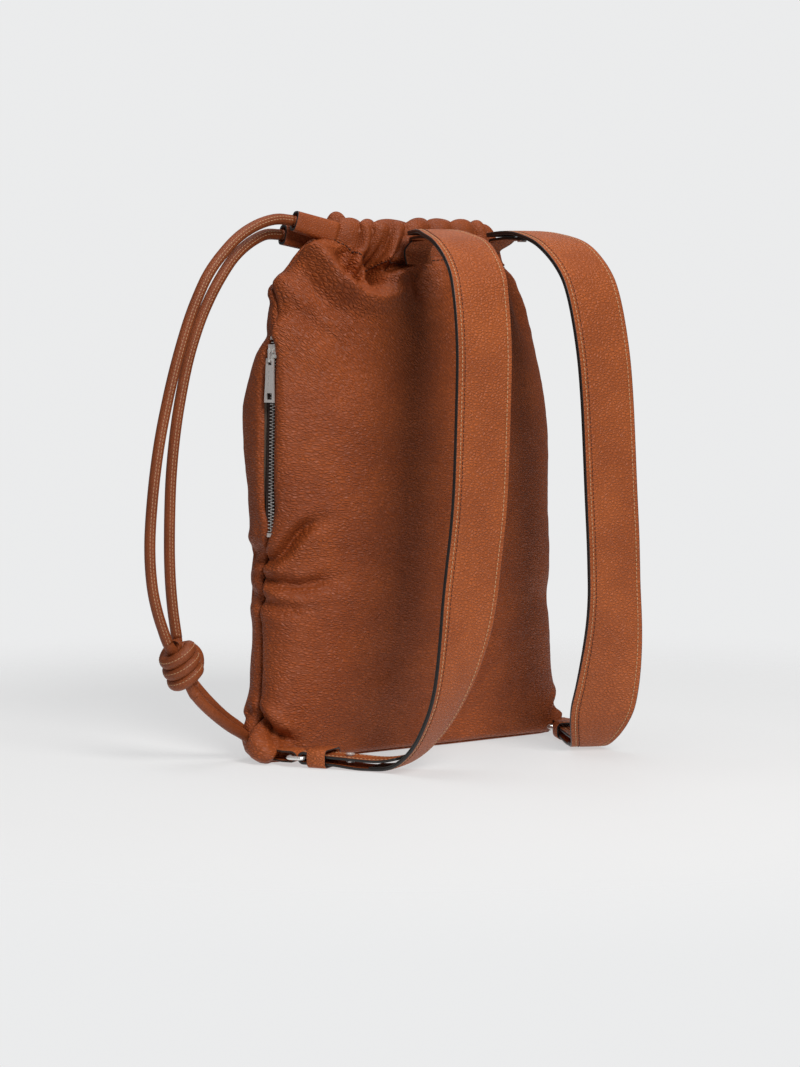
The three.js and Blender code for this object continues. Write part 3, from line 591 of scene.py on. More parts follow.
# Folds pressed into the leather: depth (minus for a ridge), width, raised shoulder beside it,
# and the line it follows as angles and heights on the wall.
FOLDS = [
    # the pit under the drawn-up mouth, and the folds that run into it
    (28, 7, 3.0, [(234, 420), (240, 410), (243, 399), (243, 390)]),
    (13, 4, 3.0, [(240, 408), (246, 405), (253, 407), (261, 411), (268, 412)]),
    (16, 9, 2.5, [(206, 421), (215, 413), (227, 403), (240, 392)]),
    (-17, 11, 0.0, [(190, 421), (206, 406), (223, 391), (236, 379), (248, 378), (259, 386)]),
    (-9, 24, 0.0, [(192, 430), (188, 412), (186, 390), (184, 372)]),
    (6, 10, 1.5, [(193, 398), (207, 387), (222, 374), (238, 364)]),
    (4, 9, 1.0, [(198, 372), (212, 362), (226, 350), (238, 342)]),
    (9, 11, 0.5, [(262, 410), (264, 396), (267, 376)]),
    (-3, 13, 0.0, [(250, 372), (262, 350), (270, 320)]),
    (5, 8, 1.0, [(284, 412), (283, 392), (280, 370)]),
    (5, 8, 1.0, [(305, 412), (303, 388), (300, 360)]),
    (4, 8, 1.0, [(325, 412), (324, 385), (322, 350)]),
    # the back panel's rolled edge beside the zip, and the fold under the zip's end
    (-3.5, 11, 0.0, [(199, 382), (203, 340), (204, 290), (204, 240), (202, 205)]),
    (11, 5, 2.0, [(174, 162), (186, 164), (195, 167), (203, 174), (210, 185), (217, 194), (226, 199)]),
    (8, 5.5, 1.5, [(174, 152), (188, 150), (202, 146), (216, 145), (234, 151)]),
    (4, 5, 1.0, [(176, 136), (188, 131), (203, 127), (218, 126)]),
    (4, 20, 0.0, [(196, 160), (220, 160), (250, 170)]),
    (4, 14, 0.0, [(345, 120), (325, 121), (305, 126)]),
    (2.5, 18, 0.0, [(262, 60), (250, 90), (232, 105)]),
    (-2, 22, 0.0, [(225, 60), (240, 75), (262, 110)]),
    # the front panel: a soft lobe above the zip, and the lip beside it
    (-5, 12, 0.0, [(188, 392), (182, 384), (176, 372)]),
    (3, 9, 0.0, [(186, 352), (176, 350), (164, 345)]),
    (5, 6, 2.0, [(187, 176), (178, 172), (166, 168)]),
    (4, 7, 1.0, [(187, 140), (176, 136), (160, 136)]),
    # the corners that the rings hang from
    (-14, 14, 0.0, [(180, 22), (186, 14), (196, 8), (209, 3)]),
    (14, 4.5, 3.0, [(178, 41), (190, 34), (203, 28), (216, 22), (230, 16)]),
    (8, 3.2, 1.5, [(188, 34), (198, 27), (207, 19), (214, 12)]),
    (-6, 13, 0.0, [(340, 22), (328, 12), (321, 6)]),
    (5, 4, 1.5, [(358, 36), (344, 30), (333, 24), (318, 16)]),
    # the far side
    (6, 9, 2.0, [(40, 405), (44, 380), (50, 350)]),
    (7, 9, 2.0, [(76, 408), (78, 380), (84, 345)]),
    (6, 9, 2.0, [(110, 408), (108, 385), (100, 350)]),
    (6, 8, 2.0, [(140, 405), (138, 380), (128, 350)]),
    (-4, 20, 0.0, [(60, 330), (90, 310), (120, 320)]),
    (4, 16, 1.0, [(12, 170), (35, 160), (70, 165), (105, 158), (150, 165)]),
    (3, 12, 1.0, [(165, 110), (140, 95), (110, 92)]),
    (-3, 24, 0.0, [(40, 100), (90, 120), (140, 110)]),
    (5, 5, 1.5, [(2, 34), (16, 26), (30, 14)]),
    (5, 5, 1.5, [(178, 34), (164, 26), (150, 14)]),
]

# The creases between the gathers of the mouth, as angles round it.
GATHERS = [
    178, 219, 230, 244, 255, 270, 283, 304, 316, 341, 352, 370, 381, 403, 412, 431, 444, 466,
    476, 497, 507, 526, 538,
]
# How full one gather after another is.
CRESTS = np.array([0.72, 1.0, 0.82, 0.95, 0.76])
# The line of stitches under the mouth, as angles and heights.
SEAM_ANGLES = [0, 150, 178, 192, 215, 227, 237, 250, 290, 360]
SEAM_HEIGHTS = [407, 419, 432, 432, 426, 419, 412, 413, 414, 407]


def gathers(angle):
    """How full the mouth's gather is at an angle: 0 in a crease, about 1 on a crest."""
    turned = np.where(np.asarray(angle) < GATHERS[0], np.asarray(angle) + 360, angle)
    phase = np.interp(turned, GATHERS, np.arange(len(GATHERS)))
    crest = CRESTS[np.floor(phase).astype(int) % len(CRESTS)]
    return 1 - crest * (1 - np.abs(np.sin(math.pi * phase)) ** 0.6)


def seam_height(angle):
    return np.interp(np.asarray(angle) % 360, SEAM_ANGLES, SEAM_HEIGHTS)


# How far the left side falls away behind its seam: heights and depths.
SIDE_HEIGHTS = [0, 30, 60, 90, 117, 137, 156, 172, 200, 225, 250, 290, 315, 334, 352, 364, 378]
SIDE_DEPTHS = [8, 11, 11.5, 9.5, 8, 7.5, 10, 7.5, 6, 5, 2, 0, 4, 7, 11, 6, 0]
SIDE_ANGLE, SIDE_SPREAD = 158.0, 22.0
PIT_ANGLE, PIT_SPREAD = 242.0, 18.0
# Wrinkles all over: size, depth, extra depth near the top, and stretch along X, Y and Z.
WRINKLES = (
    (55, 1.6, 0.0, (1, 1, 1)),
    (15, 0.35, 0.7, (1, 1, 1.6)),
    (5, 0.1, 0.12, (0.8, 1, 1.5)),
)
GATHER_DEPTH, GATHER_RUN = 9.5, 52.0
NOTCH_DEPTH, NOTCH_HEIGHT = 3.0, 14.0
TURN_IN_DEPTH, TURN_IN_HEIGHT = 5.0, 9.0


def converged(angle, share):
    """Gather angles bent so that the creases run together at the pit under the mouth."""
    away = np.asarray(angle) - PIT_ANGLE
    return angle + 0.6 * share * away * np.exp(-(away / PIT_SPREAD) ** 2)


def wrinkle(points, size, stretch=(1, 1, 1)):
    values = [noise.noise(Vector((p[0] * stretch[0], p[1] * stretch[1], p[2] * stretch[2])) * (1 / size))
              for p in points]
    return np.array(values)


def fold_depth(points):
    """How far all the folds push each point in."""
    depth = np.zeros(len(points))
    for deep, width, shoulder, line in FOLDS:
        knots = curve(line, 40)
        path = wall(knots[:, 0], knots[:, 1])
        near = np.full(len(points), 1e9)
        place = np.zeros(len(points))
        for i, spot in enumerate(path):
            distance = np.linalg.norm(points - spot, axis=1)
            closer = distance < near
            near[closer] = distance[closer]
            place[closer] = i / (len(path) - 1)
        fade = smoothstep(0, 0.22, place) * smoothstep(0, 0.22, 1 - place) * 0.75 + 0.25
        fade *= np.exp(-np.maximum(near / (2.2 * width) - 1.5, 0))
        depth += fade * deep * np.exp(-(near / width) ** 1.6)
        depth -= fade * shoulder * np.exp(-((near - 2.1 * width) / (1.1 * width)) ** 2)
    return depth


def skin(angle, z, inset=0.0, follow=0.0):
    """Points of the bag's leather with its folds, gathers and wrinkles.

    A lining is inset, and follows a share of each fold's depth further in.
    """
    angle, z = np.broadcast_arrays(np.asarray(angle, float), np.asarray(z, float))
    base, out = wall(angle, z), wall_normal(angle, z)
    above_seam = z - seam_height(angle)
    folds = fold_depth(base)
    push = -folds
    drawn = smoothstep(-GATHER_RUN, 0, above_seam)
    push -= GATHER_DEPTH * (1 - gathers(converged(angle, 1))) * drawn ** 1.3
    push -= np.interp(z, SIDE_HEIGHTS, SIDE_DEPTHS) * np.exp(-((angle - SIDE_ANGLE) / SIDE_SPREAD) ** 2)
    push -= NOTCH_DEPTH * smoothstep(-NOTCH_HEIGHT, 0, above_seam)
    top = smoothstep(330, 400, z)
    for size, depth, extra, stretch in WRINKLES:
        push += (depth + extra * top) * wrinkle(base, size, stretch)
    push -= TURN_IN_DEPTH * smoothstep(TURN_IN_HEIGHT, 0, z) ** 2
    push -= follow * np.maximum(folds, 0)
    return base + out * (push - inset)[..., None]


def zip_slot(z):
    """Half of the gap between the panels along the zip, in degrees."""
    half_gap, lead, past_end = 5.4, 18.0, 4.0
    from_end = np.minimum(z - ZIP_BOTTOM + past_end, ZIP_TOP - past_end - z)
    return half_gap * smoothstep(0, 1, from_end / lead)


def covering(z):
    """Where the back panel covers the closed zip's slider: 1 there, and 0 away from it."""
    return smoothstep(329, 338, z) * smoothstep(366, 354, z)


def lip(angle, z):
    """How far the back panel stands up over the slider."""
    return 5.5 * covering(z) * np.exp(-((angle - 191) / 9) ** 2)


def level(angle, z):
    return 0 * z


SEAM_LEVEL = 417.0
# How much closer together a panel's points lie near its seams than in its middle.
CROWDING = 0.14
SEWN_IN_DEPTH, SEWN_IN_WIDTH = 4.2, 2.6


def add_panel(name, node, seams, counts, material, thick, lift=level, low=1.8, top_drop=0.0, **lining):
    """A panel of the bag between two seams; its edges turn in where it is sewn."""
    start, end = seams
    across, up = counts
    fraction = np.linspace(0, 1, across + 1)
    fraction = fraction - CROWDING * np.sin(2 * math.pi * fraction) / (2 * math.pi)
    angles, heights = [], []
    for share in np.linspace(0, 1, up + 1):
        height = low + (SEAM_LEVEL - low) * share
        turn = start(height) + (end(height) - start(height)) * fraction
        angles.append(turn)
        heights.append(low + (seam_height(turn) - top_drop - low) * share)
    angles, heights = np.array(angles), np.array(heights)
    points = skin(angles.ravel(), heights.ravel(), **lining).reshape(up + 1, across + 1, 3)
    out = wall_normal(angles, heights)
    step = np.linalg.norm(np.diff(points, axis=1), axis=2)
    reach = np.concatenate([np.zeros((up + 1, 1)), np.cumsum(step, axis=1)], axis=1)
    edge = np.minimum(reach, reach[:, -1:] - reach)
    turned_in = SEWN_IN_DEPTH * np.exp(-(edge / SEWN_IN_WIDTH) ** 1.4)
    points = points + out * (lift(angles, heights) - turned_in)[..., None]
    piece = new_piece(name, points.reshape(-1, 3), grid_faces(up + 1, across + 1), [material], "bag")
    thicken(piece, thick)
    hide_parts(node)
    return piece


def left_seam(z):
    """The left seam runs up beside the zip, then back under the shoulder."""
    return LEFT_SEAM - 12 * smoothstep(190, 150, z) - 27 * smoothstep(343, 392, z)


def back_start(z):
    return left_seam(z) + 0.2 + 0.6 * zip_slot(z) - 4.5 * covering(z)


def front_end(z):
    return left_seam(z) - 0.2 - 1.1 * zip_slot(z)


def fixed(angle):
    return lambda z: angle


def add_leather_panel(node, start, end, lift):
    counts = ((210, 230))
    panel = add_panel(node + "_leather", node, (start, end), counts, body_leather, 1.6, lift)


def add_lining(node, start, end):
    lining = add_panel(node + "_cloth", node, (start, end), (90, 90), lining_cloth, 0.6,
                       low=8.0, top_drop=3.0, inset=3.4, follow=0.7)


add_leather_panel("back_panel", back_start, fixed(RIGHT_SEAM - 0.2), lip)
add_leather_panel("front_panel", fixed(RIGHT_SEAM - 359.8), front_end, level)
add_lining("lining_back", back_start, fixed(RIGHT_SEAM - 0.5))
add_lining("lining_front", fixed(RIGHT_SEAM - 359.5), front_end)


def rim_rings(count, height, facing, profile):
    """Rings set in from the bag's outline; the profile lists each one's inset and height."""
    angles = np.linspace(0, 360, count, endpoint=False)
    rim = skin(angles, np.full(count, height))
    rings = []
    for inset, z in profile:
        ring = rim - wall_normal(angles, facing) * inset
        ring[:, 2] = z
        rings.append(ring)
    return rings


def add_base():
    """The bottom of the bag: a flat panel with a rounded edge."""
    count = 240
    profile = ((14, 2.9), (6, 2.9), (3, 2.4), (1.8, 1.4), (2.4, 0.5), (5, 0.0))
    rings = rim_rings(count, 1.8, 1.0, profile)
    faces = flipped(closed_faces(len(rings), count))
    base = new_piece("base_panel_leather", np.vstack(rings), faces, [body_leather], "bag")
    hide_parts("base_panel")


def add_base_board():
    """The stiff card inside the bottom, a little smaller than the bag's own outline."""
    count = 180
    profile = ((12, 3.2), (6, 3.2), (5.5, 3.6), (5.5, 5.4), (6, 5.8), (12, 5.8))
    rings = rim_rings(count, 5.0, 5.0, profile)
    faces = closed_faces(len(rings), count)
    board = new_piece("base_board_card", np.vstack(rings), faces, [board_finish], "bag")
    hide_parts("base_board")


def add_lining_base():
    """The cloth on the bag's floor, a little rumpled."""
    count, height = 96, 9.0
    angles = np.linspace(0, 360, count, endpoint=False)
    rim = skin(angles, np.full(count, height)) - wall_normal(angles, height) * 7
    centre = np.array([0, -3, 0])
    rings = []
    for share in np.linspace(1, 0.04, 20):
        ring = centre + (rim - centre) * share
        ring[:, 2] = height + 0.5 + 0.6 * wrinkle(ring, 30)
        rings.append(ring)
    faces = flipped(grid_faces(len(rings), count, True))
    faces.append(tuple((len(rings) - 1) * count + i for i in reversed(range(count))))
    cloth = new_piece("lining_base_cloth", np.vstack(rings), faces, [lining_cloth], "bag")
    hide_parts("lining_base")


# The casing is a tunnel drawn as a sweep round its middle, from the line of stitches on its
# outer side, over its top, and down inside. Angles in degrees, sizes from its middle.
CASING_FROM, CASING_TO = 189.0, 530.0
SWEEP_FROM, SWEEP_TO = math.radians(-62), math.radians(236)
CASING_INSIDE = 8.6
CASING_OUT, CASING_IN = 9.4, 10.2
CASING_UP, CASING_DOWN = 14.2, 13.0
CREASE_OUT, CREASE_UP = 0.95, 0.32


def casing_middle(angle, path):
    """The height of the tunnel's middle, which dips and rises round the mouth."""
    left_rise = 4 * np.exp(-((angle - 519) / 11) ** 2)
    right_dip = 13 * np.exp(-((angle - 352) / 30) ** 2)
    back_dip = 3 * smoothstep(300, 270, angle)
    return 431.5 + left_rise - right_dip - back_dip + 2.5 * wrinkle(path, 30)


def add_casing():
    """The gathered tunnel round the mouth that the cord runs in."""
    columns, rows = 520, 44
    angle = np.linspace(CASING_FROM, CASING_TO, columns)
    path = wall(angle, np.full(columns, MOUTH))
    out = wall_normal(angle, np.full(columns, BELOW_MOUTH))
    out[:, 2] = 0
    out = normalised(out)
    from_end = np.minimum(angle - CASING_FROM, CASING_TO - angle)
    near_end = smoothstep(0, 10, angle - CASING_FROM) * smoothstep(0, 10, CASING_TO - angle)
    closing = np.sqrt(1 - (1 - np.clip(from_end / 6, 0, 1)) ** 2)
    swell = 1 + 0.05 * wrinkle(path, 16)
    middle = casing_middle(angle, path)
    joint = skin(angle, seam_height(angle), 0.6)
    points = []
    for turn in np.linspace(SWEEP_FROM, SWEEP_TO, rows):
        towards_pit = smoothstep(math.radians(60), SWEEP_FROM, turn)
        crease = (1 - gathers(converged(angle, towards_pit))) * near_end
        reach = (CASING_OUT if math.cos(turn) > 0 else CASING_IN) * math.cos(turn)
        lift = (CASING_UP if math.sin(turn) > 0 else CASING_DOWN) * math.sin(turn)
        reach = reach * (1 - CREASE_OUT * crease) * swell * closing
        lift = lift * (1 - CREASE_UP * crease if turn > 0 else 1) * closing
        ring = path + out * (reach - CASING_INSIDE)[:, None]
        ring[:, 2] = middle + lift
        sewn = smoothstep(math.radians(40), SWEEP_FROM, turn)
        points.append(ring * (1 - sewn) + joint * sewn)
    points = np.array(points).reshape(-1, 3)
    faces = grid_faces(rows, columns)
    casing = new_piece("casing_leather", points, faces, [gathered_leather], "bag")
    thicken(casing, 1.4)
    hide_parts("casing")


def add_casing_stitches():
    """Two rows of stitches under the mouth, which skip the right seam."""
    rows = []
    for start, end in ((190, RIGHT_SEAM - 2), (RIGHT_SEAM + 2, 528)):
        angle = np.linspace(start, end, 450)
        height = seam_height(angle) - 2.6
        rows += stitch_row(skin(angle, height), wall_normal(angle, height), 4.0, 2.9, 0.55, -0.2)
    verts, faces = gather_meshes(rows)
    stitches = new_piece("casing_stitches", verts, faces, [dark_thread], "bag")


add_base()
add_base_board()
add_lining_base()
add_casing()
add_casing_stitches()

# ------------------------------------------------------------------ sleeves

# Where each sleeve starts, in the casing, and where it ends, at the cord's exit.
SLEEVES = {
    "sleeve_back": ((-82, -14, 433), (-114, -8, 442)),
    "sleeve_front": ((-82, 6, 426), (-113.5, 9, 430.8)),
}


def add_sleeve(name, start, end):
    """A flat-folded leather tube that a cord comes out of, its end edge painted dark."""
    start, end = np.array(start, float), np.array(end, float)
    along = normalised(end - start)
    across = normalised(np.cross(np.array([0, 0, 1.0]), along))
    up = np.cross(along, across)
    sides, squareness = 40, 0.62
    angles = np.linspace(0, 2 * math.pi, sides, endpoint=False)
    c, s = np.cos(angles), np.sin(angles)
    wide = across * (np.sign(c) * np.abs(c) ** squareness)[:, None]
    high = up * (np.sign(s) * np.abs(s) ** squareness)[:, None]

    def ring(t, width, height):
        return start + (end - start) * t + wide * width + high * height

    outside = [ring(t, 5.8 + 0.6 * (1 - t), 8.4 + 1.2 * (1 - t)) for t in np.linspace(-0.15, 0.985, 12)]
    edge = [ring(1.0, 5.4, 8.0), ring(1.0, 4.9, 6.6), ring(0.97, 4.7, 6.2)]
    rings = [*outside, *edge, ring(0.6, 4.7, 5.0)]
    faces = closed_faces(len(rings), sides)
    painted = range(len(outside) - 1, len(outside) + len(edge) - 1)
    slots = [1 if i in painted else 0 for i in range(len(rings) - 1) for _ in range(sides)]
    sleeve = new_piece(name + "_leather", np.vstack(rings), faces, [sleeve_leather, painted_edge],
                       "bag", slots + [0, 0])
    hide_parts(name)


for sleeve_name, (sleeve_start, sleeve_end) in SLEEVES.items():
    add_sleeve(sleeve_name, sleeve_start, sleeve_end)


def add_hidden_cord():
    """The stretch of cord inside the casing, from one sleeve round to the other."""
    sleeve_root, sleeve_mouth = SLEEVES["sleeve_back"]
    count = 41
    angles = np.linspace(184, 535, count)
    inward = wall_normal(angles, np.full(count, BELOW_MOUTH)) * CASING_INSIDE
    middle = wall(angles, np.full(count, MOUTH)) - inward
    middle[:, 2] = np.linspace(433, 429, count)
    line = curve([sleeve_mouth, sleeve_root, *middle, *SLEEVES["sleeve_front"]], 300)
    verts, faces = tube_mesh(line, CORD_RADIUS - 0.4, 14)
    cord = new_piece("cord_in_casing_leather", verts, faces, [cord_leather], "bag")
    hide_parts("cord_in_casing")


add_hidden_cord()

# ------------------------------------------------------------------ shoulder straps

STRAP_OUTER, STRAP_INNER, SEAM_HALF = 2.1, 1.0, 0.15
TAIL_ANGLE = math.radians(28)
TAIL_WIDTH, TAIL_HEIGHT, TAIL_BEND = 26.0, 4.9, 3.05
RING_REACH = 13.0
# How far along a strap, from its root, it widens and then tapers to its tail.
ROOT_WIDTH, FULL_WIDTH, FULL_FROM = 31.0, 55.0, 105.0
TAPER_START, TAPER_END = 490.0, 572.0
# Each strap's side, its ring's place, and its route from its root to near the ring.
STRAPS = {
    "left": (-1, (-137, -50), [
        (-13.5, -50, 431.5), (-23, -79, 432.5), (-33, -106, 430), (-43, -138, 422),
        (-49, -162, 404), (-54, -175, 382), (-57, -183, 342), (-60, -186, 298),
        (-64, -187, 222), (-69, -185, 168), (-74, -180, 112), (-79, -168, 64),
        (-86, -149, 28), (-96, -127, 7), (-108, -103, 2.9), (-122, -76.6, 4.8),
    ]),
    "right": (1, (147, -50), [
        (71, -47, 430.5), (69, -76, 432), (66.5, -104, 430), (63.5, -137, 422),
        (63, -162, 404), (64, -175, 382), (67, -183, 342), (70, -186, 298),
        (74, -187, 222), (79, -185, 168), (84, -180, 112), (89, -168, 64),
        (96, -149, 28), (106, -127, 7), (118, -103, 2.9), (132, -76.6, 4.8),
    ]),
}
ANCHOR_HANG = {"left": 25.0, "right": 15.0}
ANCHOR_REACH = 64.0
# The tail folded back over the strap: distance from the ring's bar, and height.
FOLD_BACK = [(14, 9.0), (35, 8.2), (58, 7.4), (71, 8.3), (82, 10.6)]


def strap_width(length):
    full = ROOT_WIDTH + (FULL_WIDTH - ROOT_WIDTH) * smoothstep(0, FULL_FROM, length)
    return full - (full - TAIL_WIDTH) * smoothstep(TAPER_START, TAPER_END, length)


def strap_directions(points, side):
    along = normalised(np.gradient(points, axis=0))
    turn = -side * TAIL_ANGLE * smoothstep(-150, -20, -points[:, 2])
    across = np.stack([np.cos(turn), np.sin(turn), 0 * turn], 1)
    across = normalised(across - along * (along * across).sum(1)[:, None])
    return across, normalised(np.cross(along, across))


FACE_POINTS, EDGE_POINTS, UNDER_POINTS = 49, 4, 7
STITCH_MARGIN, TURN_MARGIN = 4.3, 7.0
# Sewn channels across a strap, measured from the edge whose side the sign gives.
CHANNELS = (STITCH_MARGIN, -STITCH_MARGIN, -TURN_MARGIN)
CHANNEL_DEPTH, CHANNEL_WIDTH = 0.5, 0.9
# How narrow the first and last few points of a strap are, which rounds its ends.
ROUNDED_ROOT = [0.82, 0.9, 0.95, 0.98, 0.995]
ROUNDED_TIP = [0.995, 0.98, 0.95, 0.9, 0.8]


def band_section(half, low, high, crown=0.0):
    """The outline across a strap: the outer face first, then round its edges.

    A face with a crown is domed, and has the sewn channels in it.
    """
    corner = min(0.5, (high - low) / 2.2)
    top = []
    for share in np.linspace(-1, 1, FACE_POINTS):
        x = share * (half - corner)
        z = high + crown * (1 - share * share)
        for place in CHANNELS if crown else ():
            from_channel = half * math.copysign(1, place) - x - place
            z -= CHANNEL_DEPTH * math.exp(-(from_channel / CHANNEL_WIDTH) ** 2)
        top.append((x, z))
    ends = [(half - 0.25 * corner, high - 0.25 * corner), (half, high - corner),
            (half, low + corner), (half - 0.25 * corner, low + 0.25 * corner)]
    bottom = [(share * (half - corner), low) for share in np.linspace(1, -1, UNDER_POINTS)]
    return top + ends + bottom + [(-x, z) for x, z in reversed(ends)]


def add_band(points, side, widths, low, high, crown=0.0):
    """Points, faces and face slots of a strip of leather: slot 0 its faces, slot 1 its edges."""
    across, out = strap_directions(points, side)
    rings = []
    for p, a, o, width in zip(points, across, out, widths):
        section = band_section(width / 2, low, high, crown)
        rings.append([p + a * x + o * z for x, z in section])
    rings = np.array(rings)
    count = rings.shape[1]
    outer = range(FACE_POINTS - 1)
    under_start = FACE_POINTS + EDGE_POINTS
    under = range(under_start, under_start + UNDER_POINTS - 1)
    slots = [0 if j in outer or j in under else 1 for _ in range(len(rings) - 1) for j in range(count)]
    return rings.reshape(-1, 3), closed_faces(len(rings), count), slots + [1, 1]


def strap_line(side, ring, route):
    """The strap's middle layer, from its root to the ring and folded back over itself."""
    along = np.array([side * math.sin(TAIL_ANGLE), math.cos(TAIL_ANGLE), 0])
    centre = np.array([*ring, TAIL_HEIGHT + TAIL_BEND], float)
    bar = centre - along * RING_REACH / 2

    def on_tail(length, z):
        p = bar - along * length
        return np.array([p[0], p[1], z])

    main = curve([*route, on_tail(8, TAIL_HEIGHT), on_tail(0, TAIL_HEIGHT)], 260)
    bend = []
    for angle in np.linspace(0, math.pi, 13)[1:-1]:
        height = centre[2] - TAIL_BEND * math.cos(angle)
        bend.append(on_tail(-TAIL_BEND * math.sin(angle), height))
    top = on_tail(0, centre[2] + TAIL_BEND)
    back = curve([top, *[on_tail(length, z) for length, z in FOLD_BACK]], 48)
    return main, np.array(bend), back, on_tail


def add_strap(name, side, ring, route):
    body = name + "_strap_body"
    main, bend, back, on_tail = strap_line(side, ring, route)
    reach = distance_along(main)
    whole = np.vstack([main, bend, back])
    widths = np.concatenate([strap_width(reach), np.full(len(bend) + len(back), TAIL_WIDTH)])
    widths[:len(ROUNDED_ROOT)] *= ROUNDED_ROOT
    widths[-len(ROUNDED_TIP):] *= ROUNDED_TIP

    verts, faces, slots = add_band(whole, side, widths, 0.0, SEAM_HALF + STRAP_OUTER, 0.25)
    outer = new_piece(name + "_strap_leather", verts, faces,
                      [strap_leather, painted_edge], body, slots)
    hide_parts(name + "_strap")

    lined = reach < TAPER_END
    verts, faces, slots = add_band(main[lined], side, widths[:len(main)][lined],
                                   -SEAM_HALF - STRAP_INNER, -SEAM_HALF + 0.1)
    lining = new_piece(name + "_strap_backing", verts, faces,
                       [dark_backing, painted_edge], body, slots)
    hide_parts(name + "_strap_lining")

    across, out = strap_directions(whole, side)
    surface = SEAM_HALF + STRAP_OUTER - 0.1

    def sewn_line(edge, margin):
        line = whole + across * (edge * (widths / 2 - margin))[:, None] + out * surface
        return stitch_row(line[3:-3], out[3:-3])

    pale_rows = sewn_line(-1, STITCH_MARGIN) + sewn_line(1, STITCH_MARGIN)
    dark_rows = sewn_line(-1, TURN_MARGIN)
    for label, thread_look, rows in (("_strap_stitches", light_thread, pale_rows),
                                     ("_strap_dark_stitches", dark_thread, dark_rows)):
        verts, faces = gather_meshes(rows)
        stitches = new_piece(name + label, verts, faces, [thread_look], body)
    add_keeper(name, side, on_tail)
    add_anchor(name, side, main, reach, out)
    add_corner_tab(name, side, on_tail)


def add_anchor(name, side, main, reach, out):
    """The tab that rises from the bag and runs on under the strap's root."""
    thick, width, gap, count = 2.2, 26.0, 1.6, 90
    under = -SEAM_HALF - STRAP_INNER - gap - thick / 2
    x, y, z = main[0]
    hang = ANCHOR_HANG[name]
    rise = [(x, y + 2.5, z - hang), (x, y + 2.5, z - 0.5 * hang - 4), (x, y + 0.5, z - 9),
            (x, y - 3.5, z - 4.5)]
    run = (main + out[:len(main)] * under)[(reach > 7) & (reach < ANCHOR_REACH)][::6]
    line = curve([*rise, *run], count)
    verts, faces, slots = add_band(line, side, np.full(count, width), -thick / 2, thick / 2)
    against = smoothstep(z - 5, z - 15, verts[:, 2]) * (verts[:, 1] > line[:, 1].min())
    verts[:, 1] += against * (wall_y(verts[:, 0], verts[:, 2]) - line[0, 1] - 1.2)
    anchor = new_piece(name + "_anchor_leather", verts, faces, [strap_leather, painted_edge],
                       name + "_strap_body", slots)
    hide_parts(name + "_strap_anchor")


def wall_y(x, z):
    """Where the bag's plain wall is on the straps' side."""
    share = np.clip(np.abs(x - station(z, MIDDLE_X)) / station(z, HALF_WIDTH), 0, 0.86)
    power = station(z, SQUARENESS)
    return station(z, MIDDLE_Y) - station(z, HALF_DEPTH) * (1 - share ** power) ** (1 / power)


def add_corner_tab(name, side, on_tail):
    """The doubled tab that holds the ring, sewn into the bag's bottom corner."""
    middle = TAIL_HEIGHT + TAIL_BEND
    bar = -RING_REACH
    half_thick, mouth_width, root_width = 0.75, 21, 8
    loop_reach, half_height, root = 5.2, 4, -21

    def at(out, z):
        return on_tail(bar + out, middle + z)

    points = [at(root, -half_height), at(-12, -half_height)]
    points += [at(loop_reach * math.cos(turn), half_height * math.sin(turn))
               for turn in np.linspace(-math.pi / 2, math.pi / 2, 13)]
    points += [at(-12, half_height), at(root, half_height)]
    line = curve(points, 60)
    inward = (line - on_tail(bar, middle)) @ normalised(on_tail(bar - 1, 0) - on_tail(bar, 0))
    widths = mouth_width - (mouth_width - root_width) * smoothstep(6, 20, inward)
    verts, faces, slots = add_band(line, side, widths, -half_thick, half_thick)
    tab = new_piece(name + "_corner_tab_leather", verts, faces, [strap_leather, dark_backing],
                    "bag", slots)
    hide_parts(name + "_corner_tab")


def add_keeper(name, side, on_tail):
    """The loop of leather that holds both layers of the tail together."""
    along = np.array([side * math.sin(TAIL_ANGLE), math.cos(TAIL_ANGLE), 0])
    across = np.array([math.cos(TAIL_ANGLE), -side * math.sin(TAIL_ANGLE), 0])
    up = np.array([0, 0, 1.0])
    centre = on_tail(12.2, 7.9)
    flat_width, flat_height, outer, thick, half_long, eased = 10.5, 2.6, 5.0, 1.6, 8.0, 0.4
    inner = outer - thick
    section = [(outer - 0.3, -half_long), (outer, eased - half_long), (outer, 0),
               (outer, half_long - eased), (outer - 0.3, half_long), (inner, half_long),
               (inner, -half_long)]
    edges = (4, 6)
    rings = []
    for x, z, start in ((1, 1, 0), (-1, 1, 90), (-1, -1, 180), (1, -1, 270)):
        corner = centre + across * (x * flat_width) + up * (z * flat_height)
        for degrees in np.linspace(start, start + 90, 9):
            turn = math.radians(degrees)
            towards = across * math.cos(turn) + up * math.sin(turn)
            rings.append([corner + towards * reach + along * y for reach, y in section])
    rings = np.array(rings)
    count = len(section)
    faces = grid_faces(len(rings), count, True)
    last = (len(rings) - 1) * count
    faces += [(last + j, last + (j + 1) % count, (j + 1) % count, j) for j in range(count)]
    slots = [1 if j in edges else 0 for _ in rings for j in range(count)]
    keeper = new_piece(name + "_keeper_leather", rings.reshape(-1, 3), faces,
                       [strap_leather, painted_edge], name + "_keeper_body", slots)
    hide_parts(name + "_keeper")


for strap_name, (strap_side, strap_ring, strap_route) in STRAPS.items():
    add_strap(strap_name, strap_side, strap_ring, strap_route)

# ------------------------------------------------------------------ zip teeth

# The zip's middle, and the directions up it, across it and out of the bag.
ZIP_MIDDLE = np.array([-142.5, -17.0, 266.5])
ZIP_UP = np.array([0.0354, 0.0143, 0.9993])
ZIP_ACROSS = np.array([-0.3746, 0.9272, 0.0])
ZIP_OUT = np.array([-0.9266, -0.3744, 0.0382])
ZIP_HALF = 78.0
TOOTH_PITCH = 2.8
TOOTH_ROOT = 0.9
